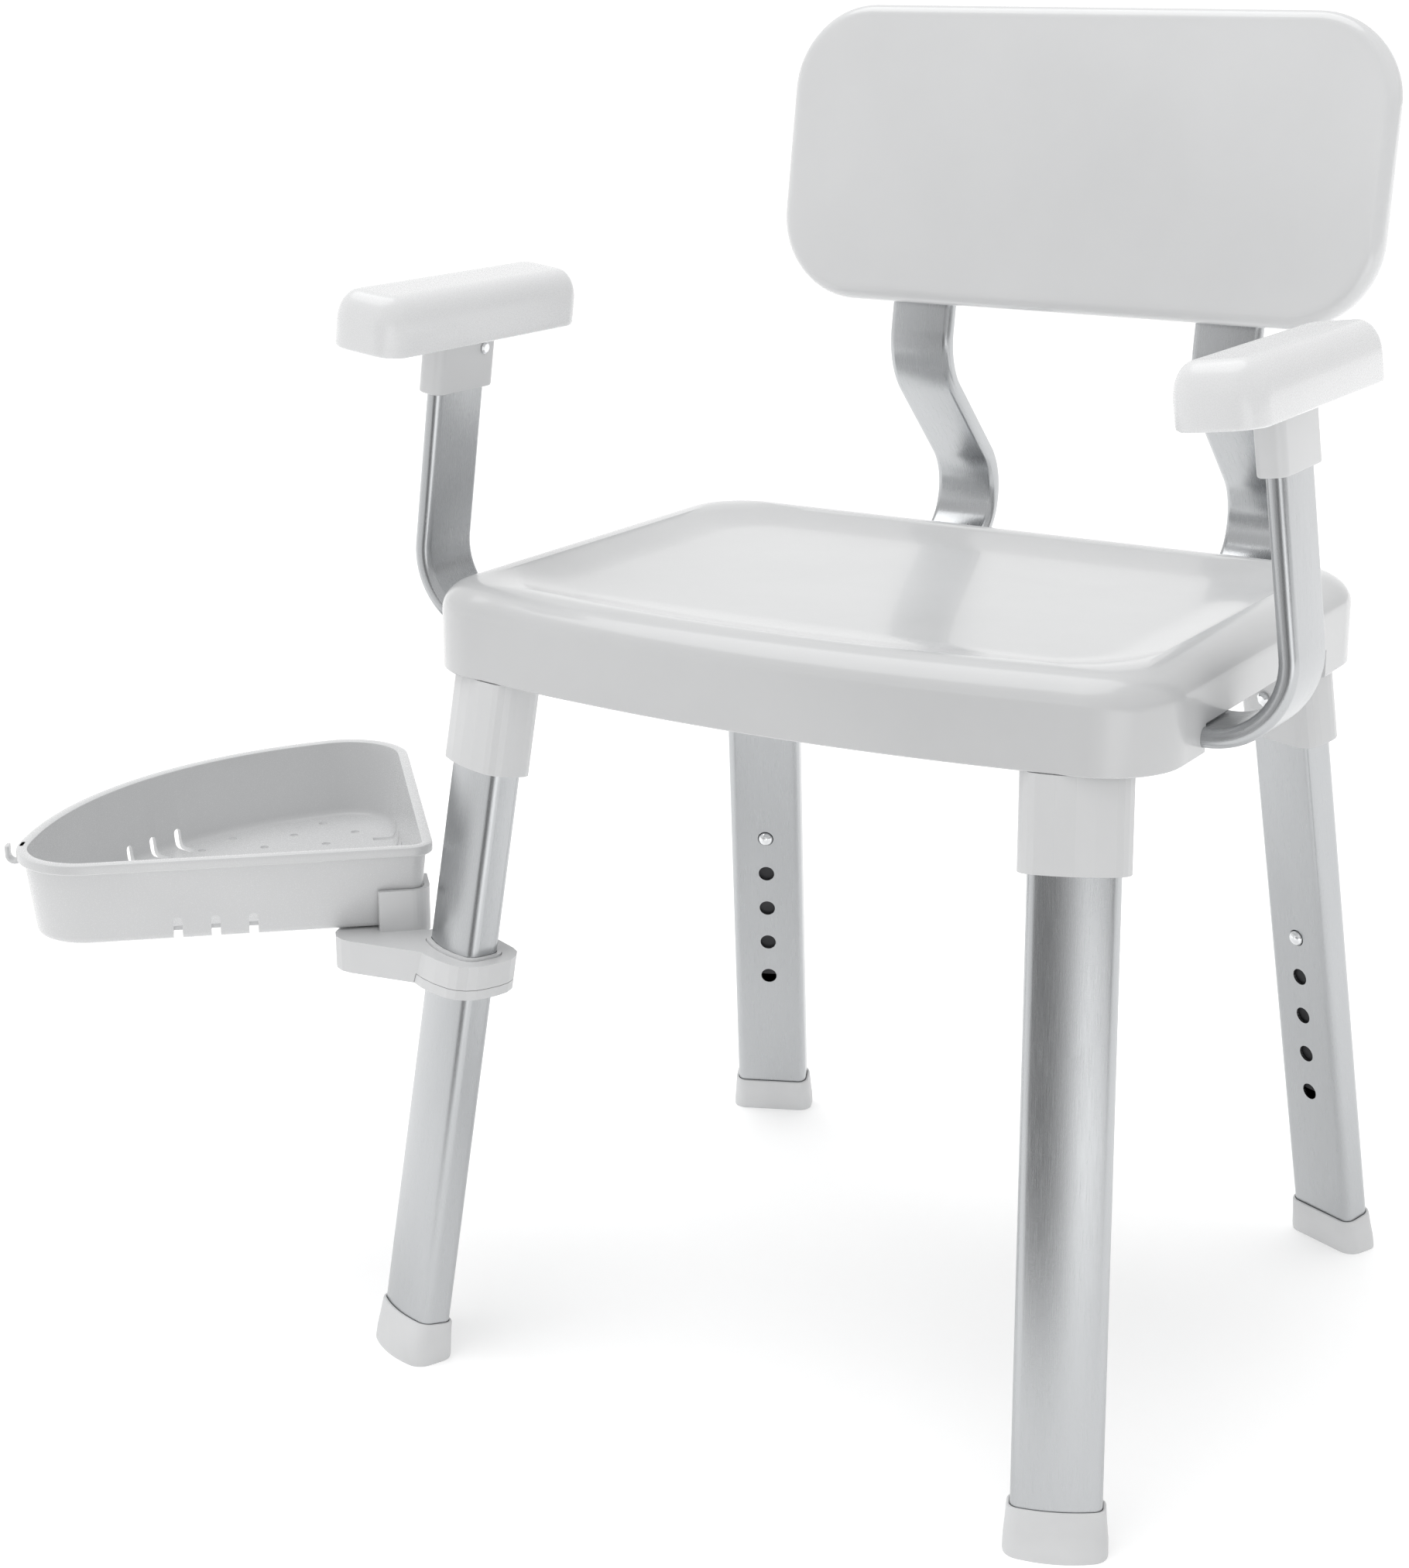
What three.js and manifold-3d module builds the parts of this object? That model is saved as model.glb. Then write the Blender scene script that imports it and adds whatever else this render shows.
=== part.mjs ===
// Shower chair: moulded seat on four height-adjustable legs, with two armrests,
// a backrest on two bent uprights and a corner tray clamped to one front leg.
// Millimetres, +Z up, the sitter faces -Y and the floor is z = 0.
import * as THREE from 'three';
import Module from 'manifold-3d';
import { mergeVertices } from 'three/addons/utils/BufferGeometryUtils.js';

const wasm = await Module();
wasm.setup();

// ---------------------------------------------------------------- driving dimensions
const GAP = 0.3;                      // clearance between neighbouring pieces
const REACH = 1000;                   // larger than the chair, for trimming blocks

const SEAT_HALF_WIDTH = 207;
const SEAT_REAR = 155;
const SEAT_FRONT = -151;              // front edge beside the corners
const SEAT_BOW = 32;                  // control height of the bowed front edge
const SEAT_TOP = 417;
const SEAT_BOTTOM = 371;
const SEAT_CEILING = 404;             // underside of the top wall
const SEAT_REAR_CORNER = 45;
const SEAT_FRONT_CORNER = 42;
const SEAT_ROLL = 20;                 // width of the rolled top edge
const SEAT_ROLL_DROP = 15;            // height of the rolled top edge
const SEAT_WALL = 3;
const CREST_HALF_WIDTH = 186;         // raised line around the sitting surface
const CREST_FRONT = -130;
const CREST_REAR = 134;
const DISH_SLOPE = 34;
const DISH_DEPTH = 6;

const LEG_WIDTH = 44;
const LEG_DEPTH = 21;
const LEG_CROWN = 4;                  // rise of the domed outer face
const LEG_OUTER_CORNER = 6;
const LEG_INNER_CORNER = 5;
const LEG_WALL = 1.6;
const LEG_FACE_HEADING = THREE.MathUtils.degToRad(23.6);
const LEG_FOOT_X = 188.2;             // centre of the flat inner face at the floor
const LEG_LEAN_X = 0.074;             // inward travel per unit of height
const LEG_ENDS = {
  front: { sign: -1, footY: 179.5, leanY: 0.149 },
  rear: { sign: 1, footY: 194.9, leanY: 0.1795 },
};
const LEG_TUBE_FROM = 6;              // stations along the leg axis, from the floor
const LEG_TUBE_TO = 330;
const LEG_TRAVEL = 75;
const INNER_TUBE_FROM = 101.5;
const SLIDE_GAP = 0.35;               // running clearance between the two tubes
const HOLE_PITCH = 25;
const HOLE_COUNT = 5;
const HOLE_TOP = 201.3;               // station of the uppermost hole
const HOLE_RADIUS = 4.9;
const BUTTON_RADIUS = 4.5;
const BUTTON_OUT = 3.4;
const BUTTON_FLANGE = 1.6;
const CAP_TOP = 20.7;
const CAP_GRIP = 1.6;                 // how far the cap stands proud of the tube
const CAP_FLARE = 3.2;
const CAP_FLOOR = 5.5;

const COLLAR_FROM = 325;
const COLLAR_PROUD = 4.7;
const COLLAR_PLATE = 3;
const COLLAR_ROOF = SEAT_CEILING + 3.5;
const CORE_LENGTH = 50;
const TAB_DROP = 335;                 // height of the lower end of each fixing tab
const TAB_WIDTH = 24;
const TAB_THICK = 3.5;
const TAB_FACE = -COLLAR_PROUD - GAP; // local y of the tab's face, against the collar
const SCREW_STATION = 351;
const SCREW_BORE = 1.9;
const SCREW_SHANK = 1.5;

const NOTCH_TOP = 385.1;              // openings in the skirt, above the tubes
const NOTCH_DEPTH = 60;
const NOTCH_INSET = 30;
const NOTCH_FRONT = -83;
const NOTCH_REAR = 82;

const STRIP_THICK = 10;               // flat oval tube of the arms and the back
const STRIP_WALL = 1.6;
const STRIP_EDGE = 3.6;               // rounding of its long edges
const RUN_HEIGHT = 379.5;             // middle of the runs below the seat
const ARM_WIDTH = 42;
const ARM_Y = -68.5;
const ARM_BEND = 38.5;
const ARM_LEAN = THREE.MathUtils.degToRad(7.4);
const ARM_CORNER = [252, RUN_HEIGHT];
const ARM_RUN_END = 104;
const ARM_TOP = 548;

const SOCKET_WALL = 3;                // box sockets that hold the tube ends under the seat
const ARM_SOCKET = [110, 186];        // from and to, in x
const BACK_SOCKET = [66, 148];        // from and to, in y
const LOCK_X = 140;
const LOCK_Y = 100;
const LOCK_RADIUS = 3.4;
const LOCK_FLANGE = 1.4;
const LOCK_OUT = 1.8;                 // rest height of a lock button below its socket

const SLEEVE_WIDTH = 51;
const SLEEVE_THICK = 15.5;
const SLEEVE_FROM = 506;
const PAD_FROM = 535.5;
const PAD_TO = 565.5;
const PAD_WIDTH = 44;
const PAD_LENGTH = 172;
const PAD_Y = -70;
const PAD_CORNER = 13;
const SLEEVE_CORNER = 4.5;
const SLEEVE_SCREW_HEIGHT = 528;
const SLEEVE_SCREW_SHIFT = 13;        // from the middle of the arm, towards the rear
const SLEEVE_SCREW_BORE = 2.2;

const BACK_X = 95.9;
const BACK_WIDTH = 40;
const BACK_CORNERS = [[60, RUN_HEIGHT], [269.6, RUN_HEIGHT], [280, 421.8], [205.5, 494.5], [233.4, 671]];
const BACK_BENDS = [29, 34.5, 41.5];
const PANEL_HALF_WIDTH = 185;
const PANEL_THICK = 18;
const PANEL_CORNER = 50;
const PANEL_FOOT = [195.7, 533];      // middle of the panel's lower edge, y and z
const PANEL_HEAD = [222.4, 702];
const PANEL_EDGE = [7, 8];            // rounding of its edges, in the plane and in depth
const CLIP_SPAN = [24, 112];          // from and to, up the panel
const CLIP_EAR = 12;
const CLIP_WALL = 3;

const TRAY_CORNER = [-202.5, -142];   // sharp corner of the rim, beside the front leg
const TRAY_HEADING = THREE.MathUtils.degToRad(176.9);
const TRAY_RADIUS = 224;
const TRAY_NEAR_CORNER = 12;
const TRAY_FAR_CORNER = 38;
const TRAY_TOP = 272;
const TRAY_BOTTOM = 225;
const TRAY_LIP = 3.4;
const TRAY_LIP_HEIGHT = 5.5;
const TRAY_WALL = 2.4;
const TRAY_DRAFT = 4.6;
const HOOK_TURN = 0.6;                // direction of the hook, from the tray's middle line
const DRAIN_RADIUS = 2.5;
const DRAIN_PITCH = 36;
const DRAIN_ROW = 20;
const DRAIN_START = 33.5;             // first row, from either straight side
const DRAIN_REACH = 204;
const SLOT_WIDTH = 4.8;
const SLOT_HEIGHT = 13;
const SLOT_PITCH = 20;
const SLOT_DEPTH = 10;
const FRONT_SLOTS = 117;              // middle slot of each straight side, from the corner
const SIDE_SLOTS = 137;

const RING_BOTTOM = 206.5;
const RING_TOP = 224.4;
const RING_PART = 211.5;               // parting height of the two ring halves
const RING_PROUD = 11;
const BUSH_THICK = 2.4;
const ARM_REACH = 58;
const ARM_SKEW = 9;
const ARM_END_RADIUS = 16;
const RELIEF_HALF_WIDTH = 5.5;        // channel that lets the clamp pass the snap button
const RELIEF_DEPTH = 4.2;
const CUP_CLEAR = 0.5;
const CUP_WALL = 3;
const CUP_HEIGHT = 22;
const CUP_REACH = 31;

// ---------------------------------------------------------------- materials
const finish = (color, roughness, metalness) =>
  new THREE.MeshStandardMaterial({ color, roughness, metalness });
const whitePlastic = () => finish(0xe6e7e8, 0.3, 0);
const rubberGrey = () => finish(0xcfd1d2, 0.7, 0);
const satinAluminium = () => finish(0xb4b8ba, 0.38, 0.9);
const brightSteel = () => finish(0xd0d2d4, 0.2, 1);

// ---------------------------------------------------------------- solids
function toSolid(geometry) {
  const bare = geometry.index ? geometry.toNonIndexed() : geometry.clone();
  bare.deleteAttribute('normal');
  bare.deleteAttribute('uv');
  const welded = mergeVertices(bare, 1e-4);
  return new wasm.Manifold(new wasm.Mesh({
    numProp: 3,
    vertProperties: new Float32Array(welded.attributes.position.array),
    triVerts: new Uint32Array(welded.index.array),
  }));
}

function toGeometry(solid) {
  const mesh = solid.getMesh();
  const geometry = new THREE.BufferGeometry();
  geometry.setAttribute('position', new THREE.BufferAttribute(mesh.vertProperties, 3));
  geometry.setIndex(new THREE.BufferAttribute(mesh.triVerts, 1));
  geometry.computeVertexNormals();
  return geometry;
}

const chair = new THREE.Group();

function addPart(name, shape, material, parent = chair) {
  const geometry = shape.isBufferGeometry ? shape : toGeometry(shape);
  const mesh = new THREE.Mesh(geometry, material);
  mesh.name = name;
  parent.add(mesh);
}

// A prism of a plane outline, from height `from` to height `to`.
function prism(shape, from, to, curveSegments = 5) {
  const options = { depth: to - from, bevelEnabled: false, curveSegments };
  const geometry = new THREE.ExtrudeGeometry(shape, options);
  return toSolid(geometry.translate(0, 0, from));
}

// A prism whose outline is the full size at mid height and is rounded off at both ends.
function roundedPrism(shape, from, to, edge, rise = edge, bevelSegments = 2, curveSegments = 4) {
  const geometry = new THREE.ExtrudeGeometry(shape, {
    depth: to - from - 2 * rise,
    bevelSize: edge,
    bevelThickness: rise,
    bevelOffset: -edge,
    bevelSegments,
    curveSegments,
  });
  return toSolid(geometry.translate(0, 0, from + rise));
}

function block(centre, size) {
  return toSolid(new THREE.BoxGeometry(...size).translate(...centre));
}

const aboveHeight = (z) => block([0, 0, z + REACH / 2], [2 * REACH, 2 * REACH, REACH]);
const belowHeight = (z) => block([0, 0, z - REACH / 2], [2 * REACH, 2 * REACH, REACH]);

// A turned piece: profile points are [radius, height], from axis to axis.
function turned(profile, segments = 12) {
  const rising = profile.at(-1)[1] > profile[0][1] ? profile : [...profile].reverse();
  const points = rising.map(([r, z]) => new THREE.Vector2(r, z));
  return toSolid(new THREE.LatheGeometry(points, segments).rotateX(Math.PI / 2));
}

function rectangle(width, height, corner, centreX = 0, centreY = 0) {
  const x = width / 2 - corner;
  const y = height / 2 - corner;
  const quarter = Math.PI / 2;
  const shape = new THREE.Shape();
  shape.absarc(centreX + x, centreY + y, corner, 0, quarter);
  shape.absarc(centreX - x, centreY + y, corner, quarter, 2 * quarter);
  shape.absarc(centreX - x, centreY - y, corner, 2 * quarter, 3 * quarter);
  shape.absarc(centreX + x, centreY - y, corner, 3 * quarter, 4 * quarter);
  shape.closePath();
  return shape;
}

function disc(radius, x = 0, y = 0) {
  const shape = new THREE.Shape();
  shape.absarc(x, y, radius, 0, 2 * Math.PI);
  return shape;
}

const matrixOf = (xAxis, yAxis, zAxis, origin = new THREE.Vector3()) =>
  new THREE.Matrix4().makeBasis(xAxis, yAxis, zAxis).setPosition(origin);

const placed = (solid, matrix) => solid.transform(matrix.elements);

const AXIS_X = new THREE.Vector3(1, 0, 0);
const AXIS_Y = new THREE.Vector3(0, 1, 0);
const AXIS_Z = new THREE.Vector3(0, 0, 1);

// ---------------------------------------------------------------- leg section and frame
// The section lies in local x (across) and y (outward); the flat face is y = 0.
function legSection(grow) {
  const half = LEG_WIDTH / 2 + grow;
  const back = -grow;
  const crownRadius = (LEG_WIDTH ** 2 / 4 + LEG_CROWN ** 2) / (2 * LEG_CROWN) + grow;
  const crownCentre = LEG_DEPTH + grow - crownRadius;
  const outer = LEG_OUTER_CORNER + grow;
  const inner = LEG_INNER_CORNER + grow;
  const sweep = Math.asin((half - outer) / (crownRadius - outer));
  const cornerY = crownCentre + (crownRadius - outer) * Math.cos(sweep);
  const quarter = Math.PI / 2;
  const shape = new THREE.Shape();
  shape.absarc(half - inner, back + inner, inner, -quarter, 0);
  shape.absarc(half - outer, cornerY, outer, 0, quarter - sweep);
  shape.absarc(0, crownCentre, crownRadius, quarter - sweep, quarter + sweep);
  shape.absarc(outer - half, cornerY, outer, quarter + sweep, 2 * quarter);
  shape.absarc(inner - half, back + inner, inner, 2 * quarter, 3 * quarter);
  shape.closePath();
  return shape;
}

const LEG_CURVE = 2;
const legPrism = (grow, from, to) => prism(legSection(grow), from, to, LEG_CURVE);

// Local z runs up the leg, local y points out of the chair.
function legFrame(side, end) {
  const { sign, footY, leanY } = LEG_ENDS[end];
  const up = new THREE.Vector3(-side * LEG_LEAN_X, -sign * leanY, 1).normalize();
  const heading = new THREE.Vector3(Math.sin(LEG_FACE_HEADING), Math.cos(LEG_FACE_HEADING), 0);
  heading.multiply(new THREE.Vector3(side, sign, 1));
  const outward = heading.addScaledVector(up, -heading.dot(up)).normalize();
  const across = outward.clone().cross(up);
  return matrixOf(across, outward, up, new THREE.Vector3(side * LEG_FOOT_X, sign * footY, 0));
}

// A round bar or bore across the flat face, from local y `from` to `to`.
function crossBar(radius, from, to, station, segments = 10) {
  const bar = new THREE.CylinderGeometry(radius, radius, to - from, segments);
  return toSolid(bar.translate(0, (from + to) / 2, station));
}

// A turned piece laid across the leg: its axis becomes local y at the given station.
const acrossLeg = (solid, station) =>
  placed(solid, matrixOf(AXIS_X, AXIS_Z.clone().negate(), AXIS_Y, new THREE.Vector3(0, 0, station)));

// ---------------------------------------------------------------- legs
function makeLegTube() {
  let tube = legPrism(0, LEG_TUBE_FROM, LEG_TUBE_TO);
  tube = tube.subtract(legPrism(-LEG_WALL, LEG_TUBE_FROM - 1, LEG_TUBE_TO + 1));
  for (let hole = 0; hole < HOLE_COUNT; hole += 1) {
    const station = HOLE_TOP - hole * HOLE_PITCH;
    tube = tube.subtract(crossBar(HOLE_RADIUS, -2, LEG_DEPTH / 2, station));
  }
  return tube;
}

const INNER_GROW = -(LEG_WALL + SLIDE_GAP);
const CORE_GROW = INNER_GROW - LEG_WALL - GAP;

function makeInnerTube() {
  const to = COLLAR_ROOF;
  let tube = legPrism(INNER_GROW, INNER_TUBE_FROM, to);
  tube = tube.subtract(legPrism(INNER_GROW - LEG_WALL, INNER_TUBE_FROM - 1, to + 1));
  return tube.subtract(crossBar(HOLE_RADIUS, -2, LEG_DEPTH / 2, HOLE_TOP));
}

// Snap button with its moving spring leaf, which slants down inside the inner tube.
function makeHeightButton() {
  const wall = 2 * LEG_WALL + SLIDE_GAP;
  const dome = turned([
    [0, -BUTTON_OUT],
    [BUTTON_RADIUS - 1.6, -BUTTON_OUT + 0.5],
    [BUTTON_RADIUS, -BUTTON_OUT + 2],
    [BUTTON_RADIUS, wall + GAP],
    [BUTTON_RADIUS + BUTTON_FLANGE, wall + GAP],
    [BUTTON_RADIUS + BUTTON_FLANGE, wall + 1.5],
    [0, wall + 1.5],
  ]);
  const upright = acrossLeg(dome, HOLE_TOP);
  const leaf = new THREE.Shape();
  leaf.moveTo(wall + 0.9, HOLE_TOP + 7);
  leaf.lineTo(wall + 0.9, HOLE_TOP - 6);
  leaf.lineTo(wall + 4, HOLE_TOP - 34);
  leaf.lineTo(wall + 4.8, HOLE_TOP - 34);
  leaf.lineTo(wall + 1.7, HOLE_TOP - 6);
  leaf.lineTo(wall + 1.7, HOLE_TOP + 7);
  leaf.closePath();
  const strip = placed(prism(leaf, -4, 4), matrixOf(AXIS_Y, AXIS_Z, AXIS_X));
  return upright.add(strip);
}

// Fixed leaf of the same spring, flat against the domed wall of the inner tube.
function makeSpringLeaf() {
  const face = LEG_DEPTH - 2 * LEG_WALL - SLIDE_GAP - 1.6;
  const leaf = block([0, face, HOLE_TOP - 16], [8, 0.8, 40]);
  const heel = block([0, face - 0.7, HOLE_TOP - 36.4], [8, 2.2, 0.8]);
  return leaf.add(heel);
}

function makeFootCap(frame) {
  const skirt = new THREE.ExtrudeGeometry(legSection(CAP_GRIP), {
    depth: CAP_TOP - CAP_FLOOR,
    bevelEnabled: false,
    curveSegments: LEG_CURVE,
  }).translate(0, 0, CAP_FLOOR);
  const sole = legPrism(CAP_FLARE, -LEG_DEPTH, CAP_FLOOR + 2);
  let cap = toSolid(skirt).add(sole);
  cap = cap.subtract(legPrism(GAP, CAP_FLOOR, CAP_TOP + 1));
  return placed(cap, frame).subtract(belowHeight(0));
}

// Cup-shaped collar: sleeve, top plate and a core that holds the inner tube.
function makeCollar(frame) {
  const sleeve = legPrism(COLLAR_PROUD, COLLAR_FROM, SEAT_TOP + 20);
  const bore = legPrism(GAP, COLLAR_FROM - 1, SEAT_TOP + 20);
  const core = legPrism(CORE_GROW, COLLAR_ROOF - CORE_LENGTH, SEAT_TOP + 20);
  const underPlate = belowHeight(COLLAR_ROOF - COLLAR_PLATE);
  let collar = placed(sleeve, frame).subtract(placed(bore, frame).intersect(underPlate));
  collar = collar.add(placed(core, frame));
  collar = collar.subtract(aboveHeight(COLLAR_ROOF - GAP));
  const inSkirt = prism(seatOutline(SEAT_WALL + GAP), SEAT_BOTTOM - GAP, SEAT_TOP);
  const belowSkirt = belowHeight(SEAT_BOTTOM - GAP);
  collar = collar.intersect(inSkirt.add(belowSkirt));
  return collar.subtract(placed(tabScrewBore(), frame));
}

// ---------------------------------------------------------------- fixing tabs and screws
const tabScrewBore = () => crossBar(SCREW_BORE, TAB_FACE - TAB_THICK - 1, -1, SCREW_STATION, 10);

function makeTab(frame) {
  const face = TAB_FACE - TAB_THICK / 2;
  const tab = block([0, face, SEAT_TOP - 40], [TAB_WIDTH, TAB_THICK, 90]);
  return placed(tab, frame);
}

function makeTabScrew() {
  const head = TAB_FACE - TAB_THICK - GAP;
  const screw = turned([
    [0, head - 2.6], [2.6, head - 2.4], [4.2, head - 1.2], [4.2, head],
    [SCREW_SHANK, head], [SCREW_SHANK, -1.2], [0, -1.2],
  ], 10);
  return acrossLeg(screw, SCREW_STATION);
}

// ---------------------------------------------------------------- seat
function seatOutline(inset) {
  const half = SEAT_HALF_WIDTH - inset;
  const rear = SEAT_REAR - inset;
  const front = SEAT_FRONT + inset;
  const rearCorner = SEAT_REAR_CORNER - inset;
  const frontCorner = SEAT_FRONT_CORNER - inset;
  const quarter = Math.PI / 2;
  const shape = new THREE.Shape();
  shape.absarc(half - rearCorner, rear - rearCorner, rearCorner, 0, quarter);
  shape.absarc(rearCorner - half, rear - rearCorner, rearCorner, quarter, 2 * quarter);
  shape.absarc(frontCorner - half, front + frontCorner, frontCorner, 2 * quarter, 3 * quarter);
  shape.quadraticCurveTo(0, front - SEAT_BOW, half - frontCorner, front);
  shape.absarc(half - frontCorner, front + frontCorner, frontCorner, 3 * quarter, 4 * quarter);
  shape.closePath();
  return shape;
}

function makeSeat(frames) {
  const outline = seatOutline(0);
  const lowest = SEAT_BOTTOM - 2 * SEAT_ROLL_DROP;
  let seat = roundedPrism(outline, lowest, SEAT_TOP, SEAT_ROLL, SEAT_ROLL_DROP, 4, 4);
  seat = seat.subtract(belowHeight(SEAT_BOTTOM));
  seat = seat.subtract(dishCutter());
  let pocket = prism(seatOutline(SEAT_WALL), SEAT_BOTTOM - 1, SEAT_CEILING, 4);
  for (const frame of frames) {
    const recess = placed(legPrism(COLLAR_PROUD + GAP, COLLAR_FROM, SEAT_TOP + 20), frame);
    const roofed = recess.subtract(aboveHeight(COLLAR_ROOF));
    pocket = pocket.add(roofed.intersect(prism(seatOutline(SEAT_WALL), 0, SEAT_TOP)));
  }
  seat = seat.subtract(pocket);
  const legRoom = legPrism(2 * GAP, COLLAR_FROM, LEG_TUBE_TO + LEG_TRAVEL);
  for (const frame of frames) seat = seat.subtract(placed(legRoom, frame));
  for (const frame of frames) {
    const tab = makeTab(frame).subtract(belowHeight(TAB_DROP)).subtract(aboveHeight(SEAT_CEILING + 1));
    seat = seat.add(tab).subtract(placed(tabScrewBore(), frame));
  }
  return cutSeatOpenings(seat);
}

// Shallow bowl: a quarter-ellipse side, entered at half its depth so that the crest stays blunt.
function dishCutter() {
  const slope = DISH_SLOPE / Math.cos(Math.PI / 6);
  const width = 2 * (CREST_HALF_WIDTH - DISH_SLOPE);
  const depth = CREST_REAR - CREST_FRONT - 2 * DISH_SLOPE;
  const base = rectangle(width, depth, 24, 0, (CREST_REAR + CREST_FRONT) / 2);
  const cutter = new THREE.ExtrudeGeometry(base, {
    depth: DISH_DEPTH,
    bevelSize: slope,
    bevelThickness: 2 * DISH_DEPTH,
    bevelSegments: 4,
    curveSegments: 3,
  });
  return toSolid(cutter.translate(0, 0, SEAT_TOP + DISH_DEPTH));
}

function cutSeatOpenings(seat) {
  let cut = seat;
  const middle = NOTCH_TOP - NOTCH_DEPTH / 2;
  for (const side of [-1, 1]) {
    const notch = block(
      [side * SEAT_HALF_WIDTH, (NOTCH_FRONT + NOTCH_REAR) / 2, middle],
      [NOTCH_INSET, NOTCH_REAR - NOTCH_FRONT, NOTCH_DEPTH],
    );
    const armSlot = block(
      [side * SEAT_HALF_WIDTH, ARM_Y, middle],
      [NOTCH_INSET, ARM_WIDTH + 4 * GAP, NOTCH_DEPTH],
    );
    const backSlot = block(
      [side * BACK_X, SEAT_REAR, middle],
      [BACK_WIDTH + 4 * GAP, NOTCH_INSET, NOTCH_DEPTH],
    );
    cut = cut.subtract(notch).subtract(armSlot).subtract(backSlot);
  }
  return cut;
}

// ---------------------------------------------------------------- bent flat tube
// Outline of a strip that follows a bent centre line, offset by half its thickness.
function bentStrip(corners, bends, half) {
  const points = corners.map(([x, y]) => new THREE.Vector2(x, y));
  const along = (i) => points[i + 1].clone().sub(points[i]).normalize();
  const left = (v) => new THREE.Vector2(-v.y, v.x);
  const start = points[0];
  const finishPoint = points.at(-1);
  const first = along(0);
  const last = along(points.length - 2);
  const shape = new THREE.Shape();
  const offset = (point, direction, amount) => point.clone().addScaledVector(left(direction), amount);
  const bend = (i, amount, reverse) => {
    const before = along(i - 1);
    const after = along(i);
    const turn = Math.sign(before.cross(after));
    const angle = Math.acos(before.dot(after));
    const radius = bends[i - 1];
    const entry = points[i].clone().addScaledVector(before, -radius * Math.tan(angle / 2));
    const centre = offset(entry, before, turn * radius);
    const from = left(before).multiplyScalar(-turn).angle();
    const to = left(after).multiplyScalar(-turn).angle();
    const reach = radius - turn * amount;
    if (reverse) shape.absarc(centre.x, centre.y, reach, to, from, turn > 0);
    else shape.absarc(centre.x, centre.y, reach, from, to, turn < 0);
  };
  const startLeft = offset(start, first, half);
  shape.moveTo(startLeft.x, startLeft.y);
  for (let i = 1; i < points.length - 1; i += 1) bend(i, half, false);
  for (const amount of [half, -half]) {
    const corner = offset(finishPoint, last, amount);
    shape.lineTo(corner.x, corner.y);
  }
  for (let i = points.length - 2; i > 0; i -= 1) bend(i, -half, true);
  const startRight = offset(start, first, -half);
  shape.lineTo(startRight.x, startRight.y);
  shape.closePath();
  return shape;
}

// Solid bent tube, hollow from end to end; width is centred on local z.
function bentTube(corners, bends, width) {
  const half = STRIP_THICK / 2;
  const strip = bentStrip(corners, bends, half);
  const outside = roundedPrism(strip, -width / 2, width / 2, STRIP_EDGE, STRIP_EDGE, 2, 2);
  const longer = lengthened(corners, 5);
  const room = width / 2 - STRIP_WALL;
  const inside = prism(bentStrip(longer, bends, half - STRIP_WALL), -room, room, 2);
  return outside.subtract(inside);
}

function lengthened(corners, amount) {
  const points = corners.map(([x, y]) => new THREE.Vector2(x, y));
  const push = (end, next) => end.clone().add(end.clone().sub(next).setLength(amount)).toArray();
  return [push(points[0], points[1]), ...corners.slice(1, -1), push(points.at(-1), points.at(-2))];
}

function inArmPlane(solid) {
  const toRear = AXIS_Y.clone().negate();
  return placed(solid, matrixOf(AXIS_X, AXIS_Z, toRear, new THREE.Vector3(0, ARM_Y, 0)));
}

function inBackPlane(solid, x) {
  return placed(solid, matrixOf(AXIS_Y, AXIS_Z, AXIS_X, new THREE.Vector3(x, 0, 0)));
}

// ---------------------------------------------------------------- armrests
const armTopX = ARM_CORNER[0] - (ARM_TOP - RUN_HEIGHT) * Math.tan(ARM_LEAN);

function makeArmTube(side) {
  const corners = [[ARM_RUN_END, RUN_HEIGHT], ARM_CORNER, [armTopX, ARM_TOP]];
  const mirrored = corners.map(([x, z]) => [side * x, z]);
  const tube = inArmPlane(bentTube(mirrored, [ARM_BEND], ARM_WIDTH));
  const bore = crossHole(side * LOCK_X, ARM_Y, RUN_HEIGHT - STRIP_THICK);
  return tube.subtract(bore);
}

// Local frame at the top of an arm: z along the leaning tube, x outward, origin on its axis at z = 0.
function armFrame(side) {
  const up = new THREE.Vector3(-side * Math.sin(ARM_LEAN), 0, Math.cos(ARM_LEAN));
  const out = new THREE.Vector3(Math.cos(ARM_LEAN), 0, side * Math.sin(ARM_LEAN));
  const base = new THREE.Vector3(side * (ARM_CORNER[0] + RUN_HEIGHT * Math.tan(ARM_LEAN)), 0, 0);
  return matrixOf(out, AXIS_Y, up, base);
}

const alongArm = (height) => height / Math.cos(ARM_LEAN);

function makeSleeve(side) {
  const shape = rectangle(SLEEVE_THICK, SLEEVE_WIDTH, SLEEVE_CORNER, 0, ARM_Y);
  const from = alongArm(SLEEVE_FROM);
  const to = alongArm(PAD_FROM) - GAP;
  let sleeve = roundedPrism(shape, from, to + 1, 1, 1, 1, 2).subtract(aboveHeight(to));
  const bore = rectangle(STRIP_THICK + 2 * GAP, ARM_WIDTH + 2 * GAP, STRIP_EDGE, 0, ARM_Y);
  sleeve = sleeve.subtract(prism(bore, from - 1, to + 1, 3));
  const bar = new THREE.CylinderGeometry(SLEEVE_SCREW_BORE, SLEEVE_SCREW_BORE, SLEEVE_THICK / 2 + 2, 10);
  const screwHole = bar.rotateZ(Math.PI / 2);
  const spot = [-side * SLEEVE_THICK / 2, ARM_Y + SLEEVE_SCREW_SHIFT, alongArm(SLEEVE_SCREW_HEIGHT)];
  sleeve = sleeve.subtract(toSolid(screwHole.translate(...spot)));
  return placed(sleeve, armFrame(side));
}

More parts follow.
